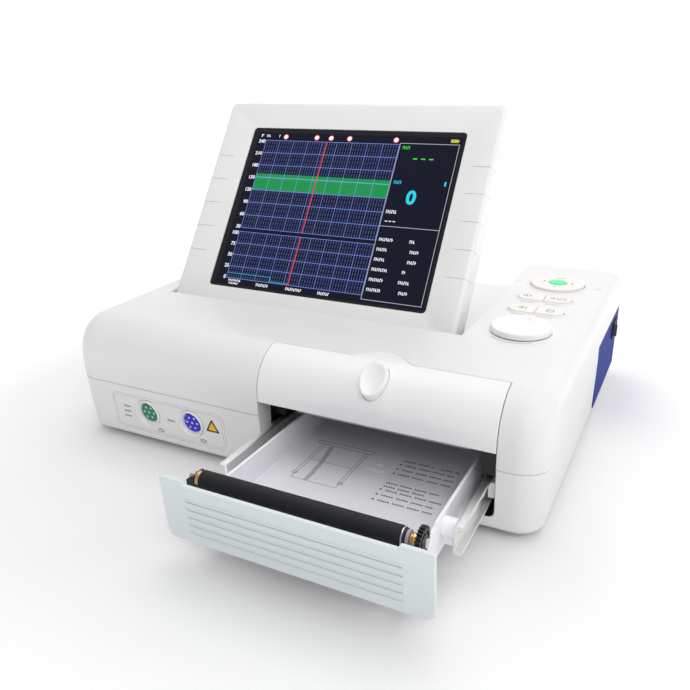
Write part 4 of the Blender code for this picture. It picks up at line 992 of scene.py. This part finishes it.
def make_controls():
    crown = ((0.0, -4.2), (0.0, 0.3), (-0.15, 0.8), (-0.45, 1.08), (-1.0, 1.2))
    edge = ((0.35, -1.0), (0.35, 0.25), (0.6, 0.45), (1.9, 0.45), (2.4, 0.25), (2.6, -1.0))
    left, middle, right = KEY_EDGES
    spans = {"left": (left, middle - GAP / 2), "right": (middle + GAP / 2, right)}
    for row, y in enumerate(KEY_ROWS):
        turn = control_plane(0, y)
        for side, (x0, x1) in spans.items():
            name = f"key_{('front', 'back')[row]}_{side}"
            shape = stack(lambda g: pill(x0, x1, KEY_HALF_DEPTH, side == "left", side == "right", g), crown)
            dress(raw(f"soft_{name}", shape, turn), "key_white", name, [name])
            sign = "sheet" if (row, side) == (0, "right") else "wedge"
            at = (x0 + x1) / 2
            bands = legend(sign, at + (-3.4 if row else 0), 0.4, 1.6, 1.17)
            if row and side == "right":
                bands += legend("ring", at + 3.2, 0.4, 1.6, 1.17)
            printed(f"{name}_sign", turn, bands, "ink_grey", name)
        border = stack(lambda g: pill(left, right, KEY_HALF_DEPTH, True, True, g), edge, ends=False)
        dress(raw(f"key_border_{row}", border, turn), "casing_white", "housing")
    turn = control_plane(*PAD)
    ring = [(7.0, -4.2), (20.0, -4.2), (20.0, 1.3), (19.8, 1.85), (19.2, 2.2)]
    ring += [(18.2, 2.3), (12.0, 2.2), (8.0, 2.1), (7.3, 1.9), (7.0, 1.4)]
    dress(raw("soft_ring_pad", lathe(ring, 96), turn), "key_white", "ring_pad", ["ring_pad"])
    signs = []
    for kind, x, y in (("wedge", -13.2, 0), ("sheet", 0, 13.2), ("ring", 13.2, 0), ("wedge", 0, -13.2)):
        signs += legend(kind, x, y, 1.8, 2.15)
    printed("ring_pad_signs", turn, signs, "ink_grey", "ring_pad")
    dome = [(0, -4.2), (6.5, -4.2), (6.5, 1.8), (6.2, 2.3), (5.4, 2.6), (3.0, 2.75), (0, 2.8)]
    dress(raw("lit_start_key", lathe(dome, 64), turn), "key_green", "start_key", ["start_key"])
    border = [(20.6, -1.0), (23.2, -1.0), (23.0, 0.25), (22.4, 0.5), (21.2, 0.5), (20.6, 0.3)]
    dress(raw("pad_border", lathe(border, 96), turn), "casing_white", "housing")
    turn = control_plane(*KNOB)
    disc = [(0, -8.0), (3.0, -8.0), (3.0, 0.6), (19.3, 0.6), (19.65, 0.8), (19.75, 1.2)]
    disc += [(19.3, 3.6), (19.05, 4.1), (18.5, 4.35), (17.8, 4.4), (9.0, 4.4), (0, 4.4)]
    knob = raw("turned_knob", lathe(disc, 96), turn)
    dimple = bmesh.new()
    bmesh.ops.create_uvsphere(dimple, u_segments=48, v_segments=32, radius=9)
    bmesh.ops.translate(dimple, vec=(0, 11.5, 12.0), verts=dimple.verts)
    carve(knob, dimple, turn)
    dress(knob, "cover_white", "knob", ["knob"], sharp=40)
    border = [(20.2, -1.0), (21.6, -1.0), (21.5, 0.12), (21.2, 0.22), (20.5, 0.22), (20.2, 0.1)]
    dress(raw("knob_border", lathe(border, 96), turn), "cover_white", "housing")
    printed("knob_scale", turn, strip(arc(0, 0, 22.6, 228, 300, 24), 0.4), "ink_soft")
    lines = ribbon([(-33.0, 0.0), (-27.5, 0.0)], 0.3) + ribbon([(27.5, 0.0), (33.0, 0.0)], 0.3)
    printed("pad_ticks", control_plane(*PAD), lines, "ink_soft")
    for row, y in enumerate(KEY_ROWS):
        bands = [bar for x in (112.0, 130.0) for bar in dashes(x, 0, range(7), 1.5, 1.0, 0.35)]
        printed(f"key_caption_{row}", control_plane(0, y - 11.3), bands, "ink_soft")


# Front sockets


def make_sockets():
    turn = front_plane(0, SOCKET_Z)

    def rim(inset):
        bottom, top = LABEL[2] - SOCKET_Z + GAP, LABEL[3] - SOCKET_Z
        return rounded(LABEL[0] + inset, LABEL[1] - inset, bottom + inset, top - inset, 6 - inset, 8)

    label = raw("socket_plate", prism(rim(0), "Y", 0.0, 0.4), turn)
    carve(label, merged([rod("Y", x, 0, 10.3, -3, 5, 72) for x in SOCKETS.values()]), turn)
    dress(label, "label_grey", "housing", ["socket_label"])
    for side, x in SOCKETS.items():
        into = turn @ Matrix.Translation((x, 0, 0)) @ Matrix.Rotation(-math.pi / 2, 4, "X")
        collar = [(7.15, -10.0), (8.0, -10.0), (8.0, -0.4), (10.0, -0.4), (10.0, 0.9), (9.8, 1.35)]
        collar += [(9.5, 1.6), (9.2, 1.5), (8.7, 0.8), (7.75, -0.4), (7.2, -1.5)]
        shell = raw(f"socket_collar_{side}", lathe([(r, -z) for r, z in collar], 72), into)
        dress(shell, "cover_white", "housing", [f"socket_shell_{side}"], sharp=40)
        colour = {"left": "insert_green", "right": "insert_blue"}[side]
        core = [(0, 1.2), (6.4, 1.2), (6.85, 1.45), (7.0, 1.9), (7.0, 9.5), (0, 9.5)]
        insert = raw(f"socket_core_{side}", lathe(core, 72), into)
        pins = [(0.0, 0.0)] + circle(0, 0, 4.2, 6)
        carve(insert, merged([rod("Z", a, b, 1.0, 0, 7, 24) for a, b in pins]), into)
        notch = {"left": box(-1.2, 1.2, -7.5, -5.8, 0, 7), "right": box(-7.5, -5.6, -1.3, 1.3, 0, 7)}[side]
        carve(insert, notch, into)
        dress(insert, colour, "housing", [f"socket_insert_{side}"])
        contacts = merged([rod("Z", a, b, 0.85, 0.9, 6.8, 24) for a, b in pins])
        dress(raw(f"socket_contacts_{side}", contacts, into), "shaft_steel", "housing", edge=0.15)
    face = print_plane(0, SOCKET_Z)
    marks = []
    for x, y in ((-126.7, 1.9), (-127.1, -2.2), (-127.8, -6.2), (-88.0, -1.7)):
        marks += dashes(x, y, range(5), 1.3, 0.85, 0.6, -0.02)
    for x in (-95.7, -59.0):
        marks += ribbon(arc(x, -12.0, 1.3, 0, 360, 16), 0.45, -0.02)
        for bar in (x - 2.3, x + 2.3):
            marks += ribbon([(bar, -13.1), (bar, -10.9)], 0.45, -0.02)
    printed("socket_marks", face, marks)
    printed("label_border", face, [band(rim, 0.5, 1.1)], "ink_white")
    printed("label_hairline", face, [band(rim, 1.15, 1.4)], "ink_soft")
    half, height = 5.65, 10.2
    corners = [(-half, 0.0), (half, 0.0), (0.0, height)]
    triangle = fillet([(x, y, 0.6) for x, y in corners])
    inner = fillet([(x * 0.64, height * 0.12 + y * 0.64, 0.4) for x, y in corners])
    spot = face @ Matrix.Translation((-49.6, -2.7, 0.0))
    printed("marker_border", spot, [prism(triangle, "Z", -0.02, 0.05)], "ink_black")
    printed("marker_face", spot, [prism(inner, "Z", 0.0, 0.09)], "amber")


# Drawer

LOUVRES, LOUVRE_TOP, LOUVRE_PITCH, LOUVRE_LEFT, LOUVRE_RIGHT = 5, 43.2, 5.05, 4.6, 127.0
TRAY_LEFT, TRAY_RIGHT, TRAY_WALL = 6.0, 125.0, 1.8
TRAY_BOTTOM, TRAY_FLOOR, TRAY_TOP, TRAY_FRONT, TRAY_BACK = 17.0, 21.0, 38.0, -186.8, -30.0
RAIL_FRONT = -145.0


def drawer_face(z):
    return front_of(z) - DRAWER_OUT


def louvre_profile():
    """The louvres from the side as (how proud, height): each flares to a lip over its groove."""
    louvre = ((1.25, 0.0), (0.8, 0.35), (0.4, 0.7), (0.1, 0.8), (-0.1, 0.7), (-0.35, 0.2))
    groove = ((-0.4, -1.2), (-1.2, -1.2), (-1.25, -0.02))
    points = [(-0.02, LOUVRE_TOP + 1.3)]
    for i in range(LOUVRES):
        lip = LOUVRE_TOP - LOUVRE_PITCH * i
        points += [(proud, lip + above) for above, proud in louvre + groove]
    return points


def make_drawer_front():
    left, right, low, high = BAY_LEFT + 0.6, BAY_RIGHT - 0.6, BAY_BOTTOM + 1.3, BAY_TOP - 1.8
    notch = 2.4
    corners = [(right, high, 1.0), (right - 16.5, high, 0.6), (right - 17.7, high - notch, 0.5)]
    corners += [(left + 15.3, high - notch, 0.5), (left + 14.1, high, 0.6), (left, high, 1.0)]
    corners += [(left, low, 5.5), (right, low, 5.5)]
    bm = prism(fillet(corners, steps=8), "Y", 0, 2.8)
    for vert in bm.verts:
        vert.co.y += drawer_face(vert.co.z)
    plate = raw("drawer_panel", bm)
    soften(plate, 0.6, 3, 40)
    profile = louvre_profile()
    top, bottom = profile[0][1], profile[-1][1]
    high, low = top - 0.05, bottom + 0.05
    pocket = [(drawer_face(z) + depth, z) for z, depth in ((high, -3), (high, 1.5), (low, 1.5))]
    pocket.append((drawer_face(bottom) - 3, low))
    carve(plate, prism(pocket, "X", LOUVRE_LEFT + 0.8, LOUVRE_RIGHT - 0.8))
    stack = [(drawer_face(z) - proud, z) for proud, z in profile]
    stack += [(drawer_face(bottom) + 1.8, bottom), (drawer_face(top) + 1.8, top)]
    louvres = prism(stack, "X", LOUVRE_LEFT, LOUVRE_RIGHT)
    for vert in louvres.verts:
        proud = max(drawer_face(vert.co.z) - vert.co.y, 0.0)
        vert.co.x += proud if vert.co.x < BAY_MIDDLE else -proud
    join(plate, louvres)
    dress(plate, "drawer_grey", "drawer", ["drawer_front"], sharp=25)


def make_tray():
    outer = (TRAY_LEFT - TRAY_WALL, TRAY_RIGHT + TRAY_WALL)
    tray = raw("tray_shell", prism(rounded(*outer, TRAY_FRONT, TRAY_BACK, 1.5), "Z", TRAY_BOTTOM, TRAY_TOP))
    inner = rounded(TRAY_LEFT, TRAY_RIGHT, TRAY_FRONT + TRAY_WALL, TRAY_BACK - TRAY_WALL, 1.5)
    carve(tray, prism(inner, "Z", TRAY_FLOOR, TRAY_TOP + 10))
    carve(tray, prism(inner, "Z", TRAY_BOTTOM - 5, TRAY_FLOOR - 2))
    jog = [(-200.0, TRAY_TOP + 5), (-200.0, TRAY_TOP - 1.6), (-149.5, TRAY_TOP - 1.6)]
    jog += [(-147.5, TRAY_TOP), (-147.5, TRAY_TOP + 5)]
    carve(tray, prism(jog, "X", TRAY_RIGHT - 1, outer[1] + 5))
    bosses = []
    for y in (RAIL_FRONT + 7, -43.0):
        bosses.append(rod("X", y, 30.4, 5.4, outer[1] - 1, BAY_RIGHT - 7.8))
        bosses.append(box(outer[1] - 1, BAY_RIGHT - 9.6, y - 1.2, y + 1.2, 20.5, 30))
        bosses.append(box(BAY_LEFT + 7.8, outer[0] + 1, y - 5, y + 5, 20.5, 25.5))
    for part in bosses:
        join(tray, part)
    dress(tray, "tray_white", "drawer", ["paper_tray"], edge=0.35, sharp=40)
    sheet = rounded(TRAY_LEFT + 1.2, TRAY_RIGHT - 1.2, TRAY_FRONT + 4, TRAY_BACK - 4, 2.0)
    film = prism(sheet, "Z", TRAY_FLOOR + 0.01, TRAY_FLOOR + 0.16)
    dress(raw("tray_film", film), "floor_film", "drawer")
    make_tray_print()


def make_tray_print():
    """A plain loading diagram, a small sign in a frame and lines of marks in place of words."""
    plane = Matrix.Translation((0, 0, TRAY_FLOOR + 0.15))
    thin, bold = 0.35, 0.5
    sheet = []
    for x in (21.6, 23.6, 52.2, 54.2):
        sheet += ribbon([(x, -73.3), (x, -111.5)], thin)
    for y in (-69.8, -73.3):
        sheet += ribbon([(19.0, y), (56.0, y)], bold)
    sheet += strip(arc(19.0, -71.55, 1.75, 90, 270, 12), bold)
    sheet += strip(arc(56.0, -71.55, 1.75, -90, 90, 12), bold)
    sheet += ribbon([(22.9, -112.5), (22.9, -117.8), (52.8, -117.8), (52.8, -112.5)], thin)
    sheet += ribbon([(23.6, -94.0), (52.2, -94.0)], thin)
    for x in (22.3, 53.6):
        sheet += ribbon(arc(x, -112.3, 1.3, 0, 360, 12), bold)
    printed("tray_diagram", plane, sheet, "ink_soft", "drawer")
    curl = [(28.4 + 4.2 * math.sin(i / 12 * math.pi * 0.55), -74.5 - 43.0 * i / 12) for i in range(13)]
    printed("tray_diagram_web", plane, strip(curl, 3.0, 0.0, 0.03), "film_print", "drawer")
    border = [(58.0, -68.8), (74.0, -68.8), (74.0, -93.6), (58.0, -93.6), (58.0, -68.8)]
    sign = ribbon(border, thin)
    sign += ribbon(arc(66.0, -74.6, 3.4, 0, 360, 16), bold)
    sign += [prism([(63.2, -84.0), (68.8, -84.0), (66.0, -79.8)], "Z", 0.0, 0.05)]
    sign += dashes(60.0, -89.4, range(5), 2.5, 1.8, 2.0)
    printed("tray_sign", plane, sign, "ink_white", "drawer")
    lines = []
    rows = ((-71.2, 78.0, 13), (-71.2, 102.0, 8), (-76.4, 80.5, 21), (-82.0, 80.5, 22))
    rows += ((-87.6, 80.5, 22), (-99.2, 77.6, 22), (-103.2, 77.6, 17))
    rows += ((-107.2, 80.5, 23), (-112.8, 80.5, 21), (-118.4, 80.5, 22))
    for y, x, letters in rows:
        lines += dashes(x, y, [i for i in range(letters) if i % 6 != 5], 1.5, 1.1, 0.6)
    for y in (-76.4, -82.0, -87.6, -107.2, -112.8, -118.4):
        lines.append(rod("Z", 77.6, y, 0.8, 0.0, 0.05, 12))
    printed("tray_lines", plane, lines, "ink_grey", "drawer")


def make_rails():
    web, lip = BAY_RIGHT - 7.5, BAY_RIGHT - 3.0
    inner = web + 1.4
    curl, groove = lip - 0.8, inner - 0.5
    corners = [(web, 20.0, 1.1), (lip, 20.0, 0.4), (lip, 21.8, 0.3), (curl, 21.8, 0.15), (curl, 21.3, 0.2)]
    corners += [(inner, 21.3, 0.9), (inner, 26.0, 0.3), (groove, 26.6, 0.3), (groove, 30.4, 0.3)]
    corners += [(inner, 31.0, 0.3), (inner, 35.7, 0.9), (curl, 35.7, 0.2), (curl, 35.2, 0.15)]
    corners += [(lip, 35.2, 0.3), (lip, 37.0, 0.4), (web, 37.0, 1.1)]
    outline = fillet(corners, steps=3)
    for side in ("left", "right"):
        mirror = (lambda x: x) if side == "right" else (lambda x: 2 * BAY_MIDDLE - x)
        points = [(mirror(x), z) for x, z in (outline if side == "right" else outline[::-1])]
        rail = raw(f"slide_{side}", prism(points, "Y", RAIL_FRONT, TRAY_BACK))
        slots = []
        for y in (-118.0, -76.0):
            x0, x1 = sorted((mirror(web - 3), mirror(inner + 3)))
            slots.append(prism(rounded(y - 3.5, y + 3.5, 27.4, 29.8, 1.1, 4), "X", x0, x1))
        carve(rail, merged(slots))
        dress(rail, "rail_steel", "drawer", [f"rail_inner_{side}"], sharp=40)
        rivet = [(0, -0.2), (1.9, -0.2), (1.8, 0.35), (1.2, 0.65), (0, 0.75)]
        for number, y in enumerate((-138.0, -50.0)):
            out = Matrix.Rotation(math.pi / 2 if side == "right" else -math.pi / 2, 4, "Y")
            seat = Matrix.Translation((mirror(groove), y, 30.4)) @ out
            head = raw(f"rivet_{side}_{number}", lathe(rivet, 32), seat)
            dress(head, "shaft_steel", "drawer")
        low, high = sorted((mirror(136.9), mirror(141.3)))
        bracket = raw(f"rail_stop_{side}", prism(rounded(-92.4, -85.4, 23.5, 33.5, 0.8), "X", low, high))
        carve(bracket, rod("X", -89.4, 28.6, 1.8, low - 2, high + 2))
        dress(bracket, "tray_white", "housing", edge=0.3)


def make_mouth():
    """Black liner in the lower right corner of the drawer's mouth and the block above the right rail."""
    outer = rounded(BAY_LEFT + 0.08, BAY_RIGHT - 0.08, BAY_BOTTOM + 0.08, 80, 3.4, 6)
    liner = raw("mouth_liner", prism(outer, "Y", FRONT + 3.6, LIP_BACK - 0.2))
    inner = rounded(BAY_LEFT + 0.4, BAY_RIGHT - 0.4, BAY_BOTTOM + 0.4, 90, 3.1, 6)
    carve(liner, prism(inner, "Y", FRONT - 5, LIP_BACK + 5))
    carve(liner, merged([box(BAY_LEFT - 5, 127, FRONT - 8, LIP_BACK + 8, 5, 95)]))
    carve(liner, box(120, BAY_RIGHT + 5, FRONT - 8, LIP_BACK + 8, 39, 95))
    dress(liner, "plastic_black", "housing")
    block = box(132.8, BAY_RIGHT - 0.6, FRONT + 5, LIP_BACK - 0.3, 39.5, 55.4)
    dress(raw("mouth_block", block), "plastic_black", "housing", edge=0.5)


def make_roller():
    along = Matrix.Translation((0, ROLLER_Y, ROLLER_Z)) @ Matrix.Rotation(math.pi / 2, 4, "Y")
    rubber = [(2.55, 5.6), (4.7, 5.6), (5.05, 5.8), (5.2, 6.2)]
    rubber += [(5.2, 119.6), (5.05, 120.1), (4.7, 120.3), (2.55, 120.3)]
    dress(raw("platen_rubber", lathe(rubber, 96), along), "rubber_black", "roller", ["platen_roller"])
    ring = [(2.55, 120.35), (5.0, 120.35), (5.1, 120.5), (5.1, 120.95), (5.0, 121.1), (2.55, 121.1)]
    dress(raw("roller_ring", lathe(ring, 96), along), "shaft_steel", "roller")
    collar = [(2.55, 121.15), (4.5, 121.15), (4.6, 121.3), (4.6, 122.0), (4.4, 122.2), (2.55, 122.2)]
    dress(raw("roller_collar", lathe(collar, 96), along), "plastic_black", "roller")
    bush_left = [(2.6, 2.9), (4.0, 2.9), (4.1, 3.05), (4.1, 5.1), (4.0, 5.3), (2.6, 5.3)]
    dress(raw("bush_left", lathe(bush_left, 64), along), "brass", "drawer")
    bush_right = [(2.6, 124.2), (2.85, 124.2), (2.9, 124.4), (2.9, 125.2)]
    bush_right += [(3.3, 125.7), (3.3, 127.5), (3.2, 127.7), (2.6, 127.7)]
    dress(raw("bush_right", lathe(bush_right, 64), along), "brass", "drawer")
    foot, crest = TRAY_FLOOR + GAP, turns(16, 0, math.pi)[1:]
    saddle = [(ROLLER_Y - 4.2, foot), (ROLLER_Y + 5.0, foot), (ROLLER_Y + 4.2, ROLLER_Z)]
    saddle += [(ROLLER_Y + 4.2 * math.cos(t), ROLLER_Z + 4.2 * math.sin(t)) for t in crest]
    saddle += [(ROLLER_Y - 4.2, ROLLER_Z)]
    post = raw("bearing_post", prism(saddle, "X", 122.4, 124.1))
    carve(post, rod("X", ROLLER_Y, ROLLER_Z, 2.6, 120, 126))
    dress(post, "post_grey", "drawer", ["bearing_block_right"], edge=0.25)
    shoulder = [(-2.4, TRAY_TOP + GAP), (2.8, TRAY_TOP + GAP), (2.8, 50.3), (1.5, 50.3), (-2.4, 47.5)]
    block = raw("bearing_shoulder", prism(shoulder, "Y", ROLLER_Y - 4.2, ROLLER_Y + 5.0))
    carve(block, rod("X", ROLLER_Y, ROLLER_Z, 2.6, -10, 10))
    dress(block, "plastic_black", "drawer", ["bearing_block_left"], edge=0.3)


def gear_outline(teeth, module, phase):
    """Teeth with curved flanks and round tips about a pitch circle; a tooth's middle is at `phase`."""
    pitch = module * teeth / 2
    root, tip = pitch - 1.2 * module, pitch + module
    share = 2 * math.pi / teeth
    points = []
    for tooth in range(teeth):
        middle = phase + share * tooth
        steps = ((root, -0.36), (pitch, -0.235), (tip - 0.1, -0.13), (tip, -0.10))
        for radius, part in steps + tuple((r, -p) for r, p in reversed(steps)):
            angle = middle + part * share
            points.append((radius * math.cos(angle), radius * math.sin(angle)))
    return points


def make_roller_gear():
    place = Vector(JOINTS["roller_spin"]["pos_m"])
    axis_y, axis_z = (place.y - ORIGIN.y) / MM, place.z / MM
    outline = [(axis_y + a, axis_z + b) for a, b in gear_outline(24, 0.6, 0.0)]
    gear = raw("feed_gear", prism(outline, "X", 128.1, 130.9))
    carve(gear, rod("X", axis_y, axis_z, 5.6, 130.2, 133))
    join(gear, rod("X", axis_y, axis_z, 3.9, 129.4, 131.0))
    carve(gear, rod("X", axis_y, axis_z, 2.55, 120, 140))
    dress(gear, "plastic_black", "roller", ["roller_gear"], edge=0.12)


# Carried-over solids


def finish_frame():
    """Finishes for the CAD solids that stay, by the record's slots, with soft edges where they show."""
    slots = {part["node"]: part["material_slot"] for part in frame["record"]["subparts"]}
    widths = {
        0.2: ("rail_outer_left", "rail_outer_right", "main_board"),
        0.3: ("power_switch_frame", "print_head", "latch_lever"),
        0.4: ("side_panel_left", "side_panel_right", "power_rocker", "mains_inlet", "printer_chassis",
              "battery_cover", "battery_pack", "feed_motor"),
        0.5: ("power_supply", "hinge_bracket_left", "hinge_bracket_right"),
        0.7: ("foot_front_left", "foot_front_right", "foot_back_left", "foot_back_right"),
    }
    bevelled = {node: width for width, nodes in widths.items() for node in nodes}
    for name, node in frame["nodes"].items():
        if node.hide_render:
            continue
        node.data.materials.clear()
        node.data.materials.append(FINISH[slots[name]])
        if name in bevelled:
            soften(node, bevelled[name])


# Camera and studio

CAMERA_PLACE = (221.224, -436.352, 246.671)
CAMERA_AZIMUTH = math.radians(27.056)
CAMERA_ELEVATION = math.radians(20.698)
CAMERA_ROLL = math.radians(-0.697)
CAMERA_LENS = 37.081
BACKDROP = (-0.454, 0.891, 0.0)


LIGHTS = {
    "overhead": ((0.0, 0.15, 1.4), (0, 0, 0.05), (1.4, 1.2), 8.0),
    "overback": ((0.3, 1.3, 1.1), (0.05, 0, 0.05), (1.6, 1.0), 2.0),
    "right": ((1.5, 0.1, 0.9), (0, 0, 0.12), (1.2, 0.8), 4.8),
    "front_high": ((0.75, -1.1, 1.2), (0.05, -0.1, 0.05), (1.2, 0.8), 7.2),
}


def make_camera():
    data = bpy.data.cameras.new("camera")
    data.lens = CAMERA_LENS
    data.clip_start = 0.01
    camera = add_object("camera", data)
    turn = Matrix.Rotation(CAMERA_AZIMUTH, 4, "Z")
    turn = turn @ Matrix.Rotation(math.pi / 2 - CAMERA_ELEVATION, 4, "X")
    turn = turn @ Matrix.Rotation(CAMERA_ROLL, 4, "Z")
    camera.matrix_world = Matrix.Translation(Vector(CAMERA_PLACE) * MM) @ turn
    bpy.context.scene.camera = camera


def make_lights():
    for name, (place, target, size, power) in LIGHTS.items():
        data = bpy.data.lights.new(name, "AREA")
        data.shape = "RECTANGLE"
        data.size, data.size_y = size
        data.energy = power
        light = add_object(name, data)
        light.location = place
        light.rotation_euler = (Vector(target) - Vector(place)).to_track_quat("-Z", "Y").to_euler()


def measured(tree, output, operation):
    """A coordinate turned into one number: its length, or how far it points towards the backdrop."""
    node = add_node(tree, "VectorMath")
    node.operation = operation
    link(tree, add_node(tree, "TexCoord").outputs[output], node.inputs[0])
    return node


def ramp(tree, source, values):
    """A smooth step from one number to another."""
    node = add_node(tree, "MapRange", values)
    node.interpolation_type = "SMOOTHSTEP"
    link(tree, source.outputs["Value"], node.inputs["Value"])
    return node.outputs["Result"]


def make_floor():
    """Matt white that glows away from the machine, so that it runs into the backdrop without a horizon."""
    tree, shader = surface("floor", (0.90, 0.90, 0.90), 0.8, bump=0.0, mottle=0.01)
    distance = measured(tree, "Object", "LENGTH")
    lift = ramp(tree, distance, {"From Min": 0.2, "From Max": 0.7, "To Max": 0.9})
    set_inputs(shader, {"Emission Color": (1, 1, 1, 1)})
    link(tree, lift, shader.inputs["Emission Strength"])
    bm = bmesh.new()
    bmesh.ops.create_grid(bm, x_segments=1, y_segments=1, size=4.0)
    mesh = bpy.data.meshes.new("floor")
    bm.to_mesh(mesh)
    bm.free()
    mesh.materials.append(FINISH["floor"])
    add_object("floor", mesh)


def make_world():
    """A dim room with a bright backdrop behind the machine."""
    world = bpy.data.worlds.new("world")
    world.use_nodes = True
    tree = world.node_tree
    background = tree.nodes["Background"]
    set_inputs(background, {"Color": (1.0, 1.0, 1.0, 1)})
    toward = measured(tree, "Generated", "DOT_PRODUCT")
    toward.inputs[1].default_value = BACKDROP
    strength = ramp(tree, toward, {"From Min": 0.35, "From Max": 0.8, "To Min": 0.4, "To Max": 1.05})
    link(tree, strength, background.inputs["Strength"])
    bpy.context.scene.world = world
    bpy.context.scene.view_settings.view_transform = "Standard"


make_camera()
make_floor()
make_lights()
make_world()
make_bottom_case()
make_top_case()
make_printer_cover()
make_release_button()
make_screen()
make_controls()
make_sockets()
make_drawer_front()
make_tray()
make_rails()
make_mouth()
make_roller()
make_roller_gear()
finish_frame()
